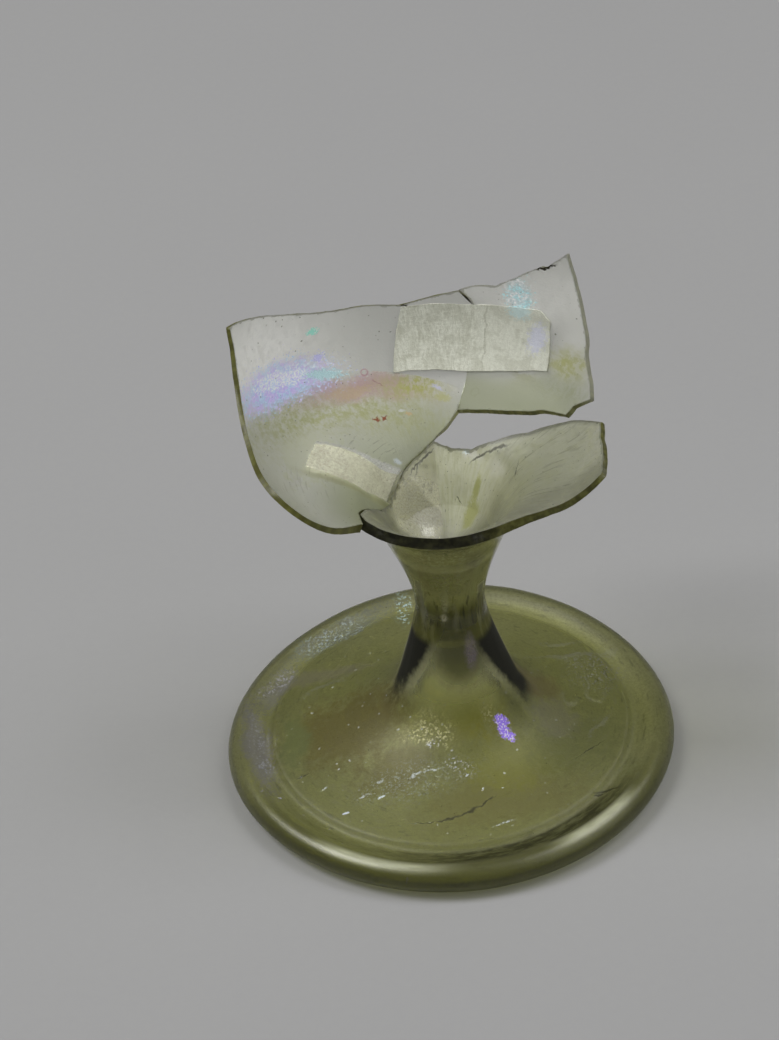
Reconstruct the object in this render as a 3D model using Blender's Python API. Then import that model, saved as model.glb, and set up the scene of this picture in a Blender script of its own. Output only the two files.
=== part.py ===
"""Broken stemmed wine glass, standing on its foot.

A small blown goblet of pale olive glass.  The wide foot has a rounded hollow rim,
folded under and left open by a hair, and a hollow cone pushed up into the stem.
The stem narrows to a neck and flares into the bowl.  Only the back of the bowl is
left: a lobe that still belongs to the stem, and two loose wall pieces that two
patches of paper tape hold in place.  The rim and the whole front are lost.

All lengths below are in millimetres; MM turns them into metres.
The origin is on the table, under the middle of the foot.  The open front faces -Y.
"""
import bpy
import bmesh
from math import ceil, cos, degrees, hypot, radians, sin, sqrt
from mathutils import Vector
from mathutils.geometry import delaunay_2d_cdt

MM = 0.001

# ---------------------------------------------------------------- driving sizes
FOOT_RADIUS = 25.0
FOLD_HEIGHT = 3.5
FOLD_INNER_RADIUS = 20.0
REST_INNER_RADIUS = 21.9
REST_OUTER_RADIUS = 23.2
KICK_HEIGHT = 16.9
NECK_RADIUS = 3.87
NECK_HEIGHT = 20.5
STEM_TOP_HEIGHT = 32.0
BOWL_FLOOR_HEIGHT = 27.6
PIECE_GAP = 0.3
TAPE_THICKNESS = 0.16

# The blown stem doesn't stand quite true: it sits to the right of the foot's middle
# and leans back a little as it rises.
STEM_OFFSET = 1.07
LEAN_BACK = 0.03
LEAN_START_HEIGHT = 3.5
LEAN_FULL_HEIGHT = 9.0

# The foot isn't quite round either.  Each wave is (number of bulges, bulge in
# millimetres at the rim, azimuth of one bulge in degrees).
FOOT_WAVES = [(3, 0.21, -39.0), (4, 0.16, -2.0)]

# ---------------------------------------------------------------- sections
# Each section is drawn through (radius, height) points.
# Outside of the glass, from the groove beside the folded rim to above the breaks.
OUTER_SECTION = [
    (FOLD_INNER_RADIUS, FOLD_HEIGHT - 0.08), (16.5, 4.1), (13.2, 4.9), (10.6, 5.9),
    (8.6, 7.2), (7.2, 8.8), (6.6, 10.2), (6.0, 12.0), (5.08, 15.0), (4.26, 18.0),
    (NECK_RADIUS, NECK_HEIGHT), (4.05, 23.0), (4.85, 26.0), (6.0, 29.0),
    (7.3, STEM_TOP_HEIGHT), (8.65, 33.9), (9.8, 35.2), (12.2, 36.8), (16.0, 38.8),
    (19.2, 42.2), (21.3, 46.2), (22.9, 50.2), (24.2, 54.2), (25.4, 58.2),
]
# Underside, from the tip of the hollow cone out to the mouth of the folded rim.
UNDER_SECTION = [
    (1.1, KICK_HEIGHT - 0.25), (2.0, 16.2), (2.6, 15.0), (3.1, 13.0), (3.6, 11.3),
    (4.3, 9.4), (5.3, 7.7), (7.0, 6.0), (10.0, 4.3), (13.0, 3.2), (16.5, 2.3),
    (FOLD_INNER_RADIUS + 0.3, 1.65),
]
# Inside of the folded rim, round its air space to the edge that was turned under.
FOLD_INSIDE = [
    (21.3, 2.05), (22.4, 2.6), (23.5, 2.4), (24.05, 1.75), (23.5, 1.1), (22.4, 0.85),
    (21.4, 1.0), (20.7, 1.25),
]
# Outside of the folded rim, from the turned-under edge to the groove on top.
FOLD_LIP = [(20.55, 1.05), (20.85, 0.55), (21.35, 0.12)]
FOLD_OUTSIDE = [
    (23.9, 0.25), (24.6, 0.8), (FOOT_RADIUS, 1.7), (24.75, 2.5), (24.0, 3.15),
    (22.8, FOLD_HEIGHT), (21.4, FOLD_HEIGHT + 0.02), (20.6, FOLD_HEIGHT - 0.02),
]
# Bottom of the bowl inside, where it narrows into the stem.
FLOOR_SECTION = [(3.6, 28.6), (2.1, BOWL_FLOOR_HEIGHT + 0.25)]

# Thickness of the wall against the distance along it from the stem's top.
WALL_THICKNESS = [(-6.0, 1.5), (2.0, 1.25), (5.0, 1.1), (9.0, 0.75), (14.0, 0.6), (30.0, 0.5)]
LOWEST_WALL = -3.0

# ---------------------------------------------------------------- broken edges
# Points are (azimuth in degrees, distance up the wall from the stem's top).
# Azimuth 0 is to the right, 90 is the back of the bowl, 270 is the lost front.
BASE_BREAK = [
    (92, 3.4), (105, 2.3), (123, 1.2), (138, 0.2), (158, -0.4), (179, 0.6), (195, 3.1),
    (207, 4.9), (215, 5.3), (231, 5.3), (250, 4.9), (270, 4.7), (292, 5.1), (308, 6.2),
    (314, 7.3), (321, 9.2), (327, 12.5), (331, 16.0), (338, 14.8), (348, 13.9), (359, 13.5),
    (366, 14.0), (379, 11.2), (391, 6.8), (408, 4.2), (424, 2.9), (439, 2.8), (452, 3.4),
]
BASE_CORNERS = (92, 158, 207, 215, 331, 366)

# A broken wall piece is a ring of runs.  Each run is smooth and ends at a corner.
LEFT_SHARD = [
    [(77.1, 6.8), (83, 4.9), (92, 3.9)],
    [(92, 3.9), (105, 2.8), (123, 1.7), (138, 0.7), (158, 0.1), (179, 1.1), (195, 3.6), (205.5, 5.2)],
    [(205.5, 5.2), (212, 5.8), (219.5, 6.4)],
    [(219.5, 6.4), (220, 8.6), (218, 11.8), (214, 14.6), (206, 16.5), (196.5, 17.2)],
    [(196.5, 17.2), (187, 17.4), (179, 18.2), (169, 20.2), (163, 22.1), (158, 24.4), (155.3, 26.5)],
    [(155.3, 26.5), (151, 26.0), (141, 24.4), (131, 22.6), (120, 21.1), (107, 20.3), (97.5, 19.6)],
    [(97.5, 19.6), (91, 19.9), (79.6, 20.6)],
    [(79.6, 20.6), (74.7, 19.1), (75.6, 15.4), (75.6, 11.0), (77.1, 6.8)],
]
RIGHT_SHARD = [
    [(75.9, 6.8), (74.4, 11.0), (74.4, 15.4), (73.5, 19.3), (78.3, 20.9)],
    [(78.3, 20.9), (75, 21.3), (68, 21.5)],
    [(68, 21.5), (63, 22.6), (54.5, 24.7)],
    [(54.5, 24.7), (52.5, 24.9), (47, 27.0)],
    [(47, 27.0), (43, 24.5), (36, 20.6)],
    [(36, 20.6), (33, 19.2), (30, 17.2), (19, 14.3)],
    [(19, 14.3), (24, 12.3)],
    [(24, 12.3), (24, 11.0)],
    [(24, 11.0), (30, 10.3), (36, 9.6), (41, 8.7), (52, 7.7), (65, 7.1), (75.9, 6.8)],
]
# Paper tape stuck inside the bowl, over the crack between the two wall pieces.
UPPER_TAPE = [
    [(104, 12.3), (89, 11.9), (74, 11.7), (59, 12.4), (43, 13.9)],
    [(43, 13.9), (46, 16.8), (48, 19.2)],
    [(48, 19.2), (52, 20.0)],
    [(52, 20.0), (63, 19.6), (75, 19.3), (87, 19.7), (97, 19.5)],
    [(97, 19.5), (104, 12.3)],
]
# Paper tape stuck outside, from the left wall piece down on to the stem.
LOWER_TAPE = [
    [(155, 10.2), (172, 9.8)],
    [(172, 9.8), (179, 5.8), (169, 0.5), (149, -2.5), (125, -5.0), (103, -6.0), (85, -6.2)],
    [(85, -6.2), (83, -2.4)],
    [(83, -2.4), (109, -1.6), (131, -0.6), (139, 2.2), (150, 5.9), (155, 10.2)],
]

# ---------------------------------------------------------------- fineness of the build
COLUMNS = 56
SECTION_PITCH = 0.25
STEM_PITCH = 1.7
UNDER_PITCH = 2.0
WALL_ROWS = 9
EDGE_PITCH = 1.5
FACE_PITCH = 1.8
EDGE_CLEARANCE = 1.0
SLOPE_REACH = 0.3
MERGE_THRESHOLD = 1e-5
# Radius of the drum on which a wall piece or a tape is laid out flat.
SHARD_RADIUS = 14.0
TAPE_RADIUS = 9.0


# ---------------------------------------------------------------- curves
def curve_through(points, pitch):
    """A smooth curve through the points, with a point about every pitch."""
    if len(points) == 2:
        ends = [points[0], points[0], points[1], points[1]]
    else:
        first = tuple(2 * a - b for a, b in zip(points[0], points[1]))
        last = tuple(2 * a - b for a, b in zip(points[-1], points[-2]))
        ends = [first] + list(points) + [last]
    path = [points[0]]
    for before, start, end, after in zip(ends, ends[1:], ends[2:], ends[3:]):
        steps = max(1, ceil(hypot(end[0] - start[0], end[1] - start[1]) / pitch))
        for step in range(1, steps + 1):
            t = step / steps
            path.append(tuple(
                0.5 * (2 * b + (c - a) * t + (2 * a - 5 * b + 4 * c - d) * t * t
                       + (3 * b - 3 * c + d - a) * t * t * t)
                for a, b, c, d in zip(before, start, end, after)))
    return path


def value_at(table, x):
    """Straight-line reading of a table of (x, value) pairs."""
    for (x0, y0), (x1, y1) in zip(table, table[1:]):
        if x <= x1:
            return y0 + (y1 - y0) * (x - x0) / (x1 - x0)
    return table[-1][1]


def measured_section():
    """The outer section with its distance from the stem's top at each point."""
    path = curve_through(OUTER_SECTION, SECTION_PITCH)
    distance, total = [0.0], 0.0
    for (r0, z0), (r1, z1) in zip(path, path[1:]):
        total += hypot(r1 - r0, z1 - z0)
        distance.append(total)
    top = value_at([(z, d) for (r, z), d in zip(path, distance)], STEM_TOP_HEIGHT)
    return [(d - top, r, z) for (r, z), d in zip(path, distance)]


OUTER = measured_section()
OUTER_RADIUS = [(d, r) for d, r, z in OUTER]
OUTER_HEIGHT = [(d, z) for d, r, z in OUTER]


def wall_point(along, depth):
    """(radius, height) at a distance along the wall and a depth in from its outside."""
    above, below = along + SLOPE_REACH, along - SLOPE_REACH
    slope_r = value_at(OUTER_RADIUS, above) - value_at(OUTER_RADIUS, below)
    slope_z = value_at(OUTER_HEIGHT, above) - value_at(OUTER_HEIGHT, below)
    length = hypot(slope_r, slope_z)
    radius = value_at(OUTER_RADIUS, along) - depth * slope_z / length
    height = value_at(OUTER_HEIGHT, along) + depth * slope_r / length
    return radius, height


def placed(azimuth, radius, height):
    """A point of the glass in metres, with the stem's offset and lean."""
    ramp = (height - LEAN_START_HEIGHT) / (LEAN_FULL_HEIGHT - LEAN_START_HEIGHT)
    ramp = min(max(ramp, 0.0), 1.0)
    ramp = ramp * ramp * (3 - 2 * ramp)
    x = ramp * STEM_OFFSET
    y = ramp * LEAN_BACK * height
    angle = radians(azimuth)
    share = (1 - ramp) * (radius / FOOT_RADIUS) ** 4
    for bulges, size, towards in FOOT_WAVES:
        radius += share * size * cos(bulges * (angle - radians(towards)))
    return Vector((x + radius * cos(angle), y + radius * sin(angle), height)) * MM


def on_wall(azimuth, along, depth):
    radius, height = wall_point(along, depth)
    return placed(azimuth, radius, height)


# ---------------------------------------------------------------- building
def clear_scene():
    for thing in list(bpy.data.objects):
        bpy.data.objects.remove(thing, do_unlink=True)


def glass_material(name, colour):
    material = bpy.data.materials.new(name)
    material.use_nodes = True
    shader = material.node_tree.nodes["Principled BSDF"]
    shader.inputs["Base Color"].default_value = colour
    shader.inputs["Roughness"].default_value = 0.12
    shader.inputs["Metallic"].default_value = 0.0
    shader.inputs["IOR"].default_value = 1.5
    shader.inputs["Transmission Weight"].default_value = 0.85
    return material


def paper_material(name, colour):
    material = bpy.data.materials.new(name)
    material.use_nodes = True
    shader = material.node_tree.nodes["Principled BSDF"]
    shader.inputs["Base Color"].default_value = colour
    shader.inputs["Roughness"].default_value = 0.85
    shader.inputs["Metallic"].default_value = 0.0
    return material


def add_object(name, mesh_data, material):
    mesh_data.normal_update()
    bmesh.ops.recalc_face_normals(mesh_data, faces=mesh_data.faces)
    mesh = bpy.data.meshes.new(name)
    mesh_data.to_mesh(mesh)
    mesh_data.free()
    mesh.materials.append(material)
    thing = bpy.data.objects.new(name, mesh)
    bpy.context.scene.collection.objects.link(thing)


def column_azimuths():
    """Even azimuths, each moved on to a broken corner that lies near it."""
    step = 360.0 / COLUMNS
    first = BASE_BREAK[0][0]
    azimuths = [first + step * i for i in range(COLUMNS)]
    for corner in BASE_CORNERS:
        nearest = min(range(COLUMNS), key=lambda i: abs(azimuths[i] - corner))
        azimuths[nearest] = float(corner)
    return azimuths


def foot_and_stem_section():
    """The section shared by every azimuth, from the cone's tip to the stem's top."""
    under = curve_through(UNDER_SECTION, UNDER_PITCH)
    rest = [(REST_INNER_RADIUS, 0.0), (REST_OUTER_RADIUS, 0.0)]
    fold = FOLD_INSIDE + FOLD_LIP + rest + FOLD_OUTSIDE
    length = LOWEST_WALL - OUTER[0][0]
    rows = ceil(length / STEM_PITCH)
    stem = [wall_point(OUTER[0][0] + length * i / rows, 0.0) for i in range(rows)]
    return under + fold + stem


def wall_section(break_height):
    """Up the outside of the wall to its broken edge, and down the inside."""
    steps = [LOWEST_WALL + (break_height - LOWEST_WALL) * i / WALL_ROWS for i in range(WALL_ROWS + 1)]
    outside = [wall_point(along, 0.0) for along in steps]
    inside = [wall_point(along, value_at(WALL_THICKNESS, along)) for along in reversed(steps)]
    return outside + inside + FLOOR_SECTION


def build_base(material):
    """Foot, stem and the lobe of the bowl that is still part of them."""
    mesh = bmesh.new()
    shared = foot_and_stem_section()
    kick_tip = mesh.verts.new(placed(0, 0.0, KICK_HEIGHT))
    floor_tip = mesh.verts.new(placed(0, 0.0, BOWL_FLOOR_HEIGHT))
    columns = []
    for azimuth in column_azimuths():
        section = shared + wall_section(value_at(BASE_BREAK, azimuth))
        columns.append([mesh.verts.new(placed(azimuth, r, z)) for r, z in section])
    for here, there in zip(columns, columns[1:] + columns[:1]):
        mesh.faces.new((kick_tip, here[0], there[0]))
        mesh.faces.new((floor_tip, there[-1], here[-1]))
        for i in range(len(here) - 1):
            mesh.faces.new((here[i], here[i + 1], there[i + 1], there[i]))
    add_object("base_foot_and_stem", mesh, material)


def outline_of(runs, radius):
    """The closed outline as points on a flat map of the wall, in millimetres."""
    outline = []
    for run in runs:
        flat = [(radians(azimuth) * radius, along) for azimuth, along in run]
        outline += curve_through(flat, EDGE_PITCH)[:-1]
    area = sum(a[0] * b[1] - b[0] * a[1] for a, b in zip(outline, outline[1:] + outline[:1]))
    return outline if area > 0 else outline[::-1]


def distance_to_edge(point, outline):
    distances = []
    for a, b in zip(outline, outline[1:] + outline[:1]):
        dx, dy = b[0] - a[0], b[1] - a[1]
        t = ((point[0] - a[0]) * dx + (point[1] - a[1]) * dy) / (dx * dx + dy * dy)
        t = min(max(t, 0.0), 1.0)
        distances.append(hypot(point[0] - a[0] - t * dx, point[1] - a[1] - t * dy))
    return min(distances)


def is_inside(point, outline):
    inside = False
    for a, b in zip(outline, outline[1:] + outline[:1]):
        if (a[1] > point[1]) != (b[1] > point[1]):
            across = a[0] + (b[0] - a[0]) * (point[1] - a[1]) / (b[1] - a[1])
            inside = inside != (point[0] < across)
    return inside


def fill_outline(outline):
    """Triangles over the outline: its own points and an even lattice inside it."""
    left, right = min(x for x, y in outline), max(x for x, y in outline)
    low, high = min(y for x, y in outline), max(y for x, y in outline)
    points = [Vector(p) for p in outline]
    row_pitch = FACE_PITCH * sqrt(3) / 2
    for row in range(ceil((high - low) / row_pitch)):
        for column in range(ceil((right - left) / FACE_PITCH) + 1):
            x = left + FACE_PITCH * (column + 0.5 * (row % 2))
            y = low + row_pitch * (row + 0.5)
            if is_inside((x, y), outline) and distance_to_edge((x, y), outline) > EDGE_CLEARANCE:
                points.append(Vector((x, y)))
    ring = list(range(len(outline)))
    verts, edges, faces, *rest = delaunay_2d_cdt(points, [], [ring], 1, MERGE_THRESHOLD)
    return verts, faces


def build_patch(name, runs, radius, outside_depth, inside_depth, material):
    """A piece of bent sheet that follows the bowl's wall between two depths."""
    outline = outline_of(runs, radius)
    verts, faces = fill_outline(outline)
    mesh = bmesh.new()
    skins = []
    for depth in (outside_depth, inside_depth):
        skin = []
        for x, y in verts:
            azimuth = degrees(x / radius)
            skin.append(mesh.verts.new(on_wall(azimuth, y, depth(y))))
        skins.append(skin)
    outer, inner = skins
    sides = set()
    for a, b, c in faces:
        mesh.faces.new((outer[a], outer[b], outer[c]))
        mesh.faces.new((inner[c], inner[b], inner[a]))
        sides.update(((a, b), (b, c), (c, a)))
    for a, b in sorted(sides):
        if (b, a) not in sides:
            mesh.faces.new((outer[b], outer[a], inner[a], inner[b]))
    add_object(name, mesh, material)


def wall_inside(along):
    return value_at(WALL_THICKNESS, along)


def wall_outside(along):
    return 0.0


def build_left_shard(material):
    build_patch("left_wall_shard", LEFT_SHARD, SHARD_RADIUS, wall_outside, wall_inside, material)


def build_right_shard(material):
    build_patch("right_wall_shard", RIGHT_SHARD, SHARD_RADIUS, wall_outside, wall_inside, material)


def build_upper_tape(material):
    """Stands just off the inside of the wall."""
    def glued_face(along):
        return wall_inside(along) + PIECE_GAP

    def free_face(along):
        return wall_inside(along) + PIECE_GAP + TAPE_THICKNESS

    build_patch("upper_tape_patch", UPPER_TAPE, SHARD_RADIUS, glued_face, free_face, material)


def build_lower_tape(material):
    """Stands just off the outside of the wall and stem."""
    def glued_face(along):
        return -PIECE_GAP

    def free_face(along):
        return -PIECE_GAP - TAPE_THICKNESS

    build_patch("lower_tape_patch", LOWER_TAPE, TAPE_RADIUS, free_face, glued_face, material)


def main():
    clear_scene()
    build_base(glass_material("foot_glass", (0.42, 0.44, 0.20, 1.0)))
    build_left_shard(glass_material("left_wall_glass", (0.62, 0.64, 0.50, 1.0)))
    build_right_shard(glass_material("right_wall_glass", (0.60, 0.63, 0.50, 1.0)))
    build_upper_tape(paper_material("upper_tape_paper", (0.66, 0.66, 0.52, 1.0)))
    build_lower_tape(paper_material("lower_tape_paper", (0.58, 0.56, 0.42, 1.0)))


main()
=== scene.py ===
"""The broken wine glass, dressed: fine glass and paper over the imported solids.

Lengths are in millimetres until MM turns them into metres.  The walls are drawn in
(azimuth in degrees, distance in mm up the wall from the stem's top), as the solids are.
"""
import bpy
import bmesh
from math import ceil, cos, degrees, hypot, pi, radians, sin, sqrt
from mathutils import Matrix, Vector, noise
from mathutils.geometry import delaunay_2d_cdt
from mathutils.kdtree import KDTree


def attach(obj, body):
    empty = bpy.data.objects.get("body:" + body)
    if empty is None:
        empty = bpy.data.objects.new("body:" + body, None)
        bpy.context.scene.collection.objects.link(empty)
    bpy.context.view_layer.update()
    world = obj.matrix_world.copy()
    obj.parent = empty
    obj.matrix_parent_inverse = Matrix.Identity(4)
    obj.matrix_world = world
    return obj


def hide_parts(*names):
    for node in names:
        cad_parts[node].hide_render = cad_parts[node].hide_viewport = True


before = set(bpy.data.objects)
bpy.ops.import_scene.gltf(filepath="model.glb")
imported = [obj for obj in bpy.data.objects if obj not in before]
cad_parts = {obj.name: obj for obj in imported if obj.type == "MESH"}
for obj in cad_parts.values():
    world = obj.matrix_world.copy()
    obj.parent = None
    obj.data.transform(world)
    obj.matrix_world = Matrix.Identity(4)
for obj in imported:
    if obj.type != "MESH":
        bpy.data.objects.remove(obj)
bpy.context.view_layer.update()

MM = 0.001
STEM_TOP_HEIGHT = 32.0
KICK_HEIGHT = 16.9
BOWL_FLOOR_HEIGHT = 27.6
STEM_OFFSET = 1.07
LEAN_BACK = 0.03
LEAN_START_HEIGHT = 3.5
LEAN_FULL_HEIGHT = 9.0
FOOT_RADIUS = 25.0
FOOT_WAVES = [(3, 0.21, -39.0), (4, 0.16, -2.0)]
FLAT = 14.0

OUTER_SECTION = [
    (19.9, 3.36), (19.2, 3.52), (16.5, 4.1), (13.2, 4.9), (10.6, 5.9), (8.6, 7.2), (7.2, 8.8),
    (6.6, 10.2), (6.0, 12.0), (5.08, 15.0), (4.26, 18.0), (3.87, 20.5), (4.05, 23.0), (4.85, 26.0),
    (6.0, 29.0), (7.3, 32.0), (8.65, 33.9), (9.8, 35.2), (12.2, 36.8), (16.0, 38.8), (19.2, 42.2),
    (21.3, 46.2), (22.9, 50.2), (24.2, 54.2), (25.4, 58.2),
]
UNDER_SECTION = [
    (0.6, 16.8), (1.1, 16.65), (2.0, 16.2), (2.6, 15.0), (3.1, 13.0), (3.6, 11.3), (4.3, 9.4),
    (5.3, 7.7), (7.0, 6.0), (10.0, 4.3), (13.0, 3.2), (16.5, 2.3), (20.3, 1.65),
]
FOLD_INSIDE = [
    (20.3, 1.65), (21.3, 1.95), (22.4, 2.5), (23.5, 2.35), (24.05, 1.75), (23.5, 1.1), (22.4, 0.85),
    (21.4, 1.0), (20.7, 1.25),
]
FOLD_LIP = [(20.7, 1.25), (20.55, 1.05), (20.85, 0.55), (21.35, 0.12), (21.9, 0.02)]
FOLD_OUTSIDE = [
    (23.2, 0.02), (23.9, 0.25), (24.6, 0.8), (25.0, 1.7), (24.85, 2.45), (24.4, 3.05), (23.7, 3.42),
    (22.9, 3.44), (22.1, 3.16), (21.3, 2.86), (20.6, 2.84), (20.16, 3.14), (19.9, 3.36),
]
FLOOR_SECTION = [(4.2, 29.4), (3.6, 28.6), (2.1, 27.85), (0.9, 27.65)]
WALL_THICKNESS = [(-6.0, 1.5), (2.0, 1.25), (5.0, 1.1), (9.0, 0.75), (14.0, 0.6), (30.0, 0.5)]
LOWEST_WALL = -3.0

BASE_BREAK = [
    (92, 3.55), (105, 2.45), (123, 1.35), (138, 0.35), (158, -0.25), (179, 0.75), (195, 3.25),
    (207, 5.0), (215, 5.35), (231, 5.3), (250, 4.9), (270, 4.7), (292, 5.1), (308, 6.2),
    (314, 7.3), (321, 9.2), (327, 12.5), (331, 16.0), (338, 14.8), (348, 13.9), (359, 13.5),
    (366, 14.0), (379, 11.2), (391, 6.8), (408, 4.2), (424, 2.9), (439, 2.8), (452, 3.55),
]
BASE_CORNERS = (92, 158, 207, 215, 331, 366)
LEFT_SHARD = [
    [(76.75, 6.8), (83, 4.9), (92, 3.65)],
    [(92, 3.65), (105, 2.55), (123, 1.45), (138, 0.45), (158, -0.15), (179, 0.85), (195, 3.35), (205.5, 5.1)],
    [(205.5, 5.1), (212, 5.6), (219.5, 6.4)],
    [(219.5, 6.4), (220, 8.6), (218, 11.8), (214, 14.6), (206, 16.5), (196.5, 17.2)],
    [(196.5, 17.2), (187, 17.4), (179, 18.2), (169, 20.2), (163, 22.1), (158, 24.4), (155.3, 26.5)],
    [(155.3, 26.5), (151, 26.0), (141, 24.4), (131, 22.6), (120, 21.1), (107, 20.3), (97.5, 19.6)],
    [(97.5, 19.6), (91, 19.9), (79.1, 20.72)],
    [(79.1, 20.72), (74.25, 19.12), (75.05, 15.4), (75.05, 11.0), (76.75, 6.8)],
]
RIGHT_SHARD = [
    [(76.65, 6.8), (74.95, 11.0), (74.95, 15.4), (74.15, 19.16), (78.9, 20.8)],
    [(78.9, 20.8), (75, 21.3), (68, 21.5)],
    [(68, 21.5), (63, 22.6), (54.5, 24.7)],
    [(54.5, 24.7), (52.5, 24.9), (47, 27.0)],
    [(47, 27.0), (43, 24.5), (36, 20.6)],
    [(36, 20.6), (33, 19.2), (30, 17.2), (19, 14.3)],
    [(19, 14.3), (24, 12.3)],
    [(24, 12.3), (24, 11.0)],
    [(24, 11.0), (30, 10.3), (36, 9.6), (41, 8.7), (52, 7.7), (65, 7.1), (76.65, 6.8)],
]
UPPER_TAPE = [
    [(104, 12.3), (89, 11.9), (74, 11.7), (59, 12.4), (43, 13.9)],
    [(43, 13.9), (46, 16.8), (48, 19.2)],
    [(48, 19.2), (52, 20.0)],
    [(52, 20.0), (63, 19.6), (75, 19.3), (87, 19.4), (97, 19.4)],
    [(97, 19.4), (104, 12.3)],
]
LOWER_TAPE = [
    [(153.8, 9.8), (171.5, 9.7)],
    [(171.5, 9.7), (172, 5.8), (170.5, 2.8), (166, 0.1), (149, -2.5), (125, -5.0), (103, -6.0), (88, -6.2)],
    [(88, -6.2), (92, -4.2), (100, -3.1), (107.4, -2.0), (111.2, -0.6), (118.5, 0.8)],
    [(118.5, 0.8), (133.5, 2.1), (140.5, 4.1), (143.5, 5.8), (149, 8.1), (153.8, 9.8)],
]


# ------------------------------------------------------------------ curves and surfaces
def curve_through(points, pitch):
    """A smooth curve through the points, in steps of about the pitch."""
    if len(points) == 2:
        ends = [points[0], points[0], points[1], points[1]]
    else:
        first = tuple(2 * a - b for a, b in zip(points[0], points[1]))
        last = tuple(2 * a - b for a, b in zip(points[-1], points[-2]))
        ends = [first] + list(points) + [last]
    path = [points[0]]
    for before, start, end, after in zip(ends, ends[1:], ends[2:], ends[3:]):
        steps = max(1, ceil(hypot(end[0] - start[0], end[1] - start[1]) / pitch))
        for step in range(1, steps + 1):
            t = step / steps
            path.append(tuple(
                0.5 * (2 * b + (c - a) * t + (2 * a - 5 * b + 4 * c - d) * t * t
                       + (3 * b - 3 * c + d - a) * t * t * t)
                for a, b, c, d in zip(before, start, end, after)))
    return path


def value_at(table, x):
    """A table of (x, y), read with straight lines between its rows."""
    for (x0, y0), (x1, y1) in zip(table, table[1:]):
        if x <= x1:
            return y0 + (y1 - y0) * (x - x0) / (x1 - x0)
    return table[-1][1]


class Table:
    """Evenly spaced readings of a table, for speed."""

    def __init__(self, pairs, low, high, count=1600):
        self.low, self.step = low, (high - low) / count
        self.values = [value_at(pairs, low + i * self.step) for i in range(count + 2)]

    def __call__(self, x):
        i = (x - self.low) / self.step
        i = min(max(i, 0.0), len(self.values) - 2.0)
        k = int(i)
        return self.values[k] + (self.values[k + 1] - self.values[k]) * (i - k)


def measured(section):
    """Radius and height against the distance up the section, which is zero at the stem's top."""
    path = curve_through(section, 0.12)
    distance = [0.0]
    for (r0, z0), (r1, z1) in zip(path, path[1:]):
        distance.append(distance[-1] + hypot(r1 - r0, z1 - z0))
    top = value_at([(z, d) for (r, z), d in zip(path, distance)][5:], STEM_TOP_HEIGHT)
    low, high = -top, distance[-1] - top
    radius = Table([(d - top, r) for (r, z), d in zip(path, distance)], low, high)
    height = Table([(d - top, z) for (r, z), d in zip(path, distance)], low, high)
    return low, radius, height


LOW_END, RADIUS_AT, HEIGHT_AT = measured(OUTER_SECTION)


def wall_point(along, depth):
    """Radius and height of a place at a depth below the wall's outer face."""
    above, below = along + 0.25, along - 0.25
    slope_r = RADIUS_AT(above) - RADIUS_AT(below)
    slope_z = HEIGHT_AT(above) - HEIGHT_AT(below)
    length = hypot(slope_r, slope_z)
    return (RADIUS_AT(along) - depth * slope_z / length, HEIGHT_AT(along) + depth * slope_r / length)


def placed(azimuth, radius, height):
    """A point in metres: the foot is slightly wavy, and the rest stands a little beside its middle."""
    ramp = (height - LEAN_START_HEIGHT) / (LEAN_FULL_HEIGHT - LEAN_START_HEIGHT)
    ramp = min(max(ramp, 0.0), 1.0)
    ramp = ramp * ramp * (3 - 2 * ramp)
    angle = radians(azimuth)
    share = (1 - ramp) * (radius / FOOT_RADIUS) ** 4
    for bulges, size, towards in FOOT_WAVES:
        radius += share * size * cos(bulges * (angle - radians(towards)))
    x, y = ramp * STEM_OFFSET, ramp * LEAN_BACK * height
    return Vector((x + radius * cos(angle), y + radius * sin(angle), height)) * MM


def thickness(along):
    return value_at(WALL_THICKNESS, along)


def ripple(azimuth, along, layer):
    """Small unevenness of blown glass, in mm, as a depth at a place on the wall."""
    a = radians(azimuth)
    around = Vector((cos(a), sin(a), 0.0))
    slow = noise.noise(around * 2.2 + Vector((0, 0, along * 0.16 + 7.3 * layer)))
    streak = noise.noise(around * 6.0 + Vector((3.1, 0, along * 0.05 + 4.7 * layer)))
    return 0.045 * slow + 0.022 * streak


# ------------------------------------------------------------------ mesh helpers
# kinds of face: share of the inside, share of the broken edge, share of the foot's underside
OUTER_FACE = (0.0, 0.0, 0.0)
INNER_FACE = (1.0, 0.0, 0.0)
BROKEN_FACE = (0.5, 1.0, 0.0)
UNDER_FACE = (0.0, 0.0, 1.0)
FOLD_FACE = (0.0, 0.0, 0.6)


def start_mesh():
    mesh = bmesh.new()
    for name in ("wall", "zone"):
        mesh.loops.layers.float_vector.new(name)
    return mesh


def add_face(mesh, corners, places, kind):
    """Add a face and keep its places, as (azimuth, along, distance to the broken edge), for the materials."""
    wall, zone = mesh.loops.layers.float_vector["wall"], mesh.loops.layers.float_vector["zone"]
    for loop, (azimuth, along, rim) in zip(mesh.faces.new(corners).loops, places):
        loop[wall] = Vector((radians(azimuth) * FLAT, along, rim))
        loop[zone] = Vector(kind)


def finish_piece(name, mesh, material, node):
    mesh.normal_update()
    if mesh.calc_volume(signed=True) < 0:
        bmesh.ops.reverse_faces(mesh, faces=mesh.faces)
    zone = mesh.loops.layers.float_vector["zone"]
    for edge in mesh.edges:
        kinds = {round(face.loops[0][zone][1]) for face in edge.link_faces}
        edge.smooth = len(kinds) == 1
    for face in mesh.faces:
        face.smooth = True
    data = bpy.data.meshes.new(name)
    mesh.to_mesh(data)
    mesh.free()
    data.materials.append(material)
    piece = bpy.data.objects.new(name, data)
    bpy.context.scene.collection.objects.link(piece)
    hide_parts(node)
    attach(piece, "root")
    return piece


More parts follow.
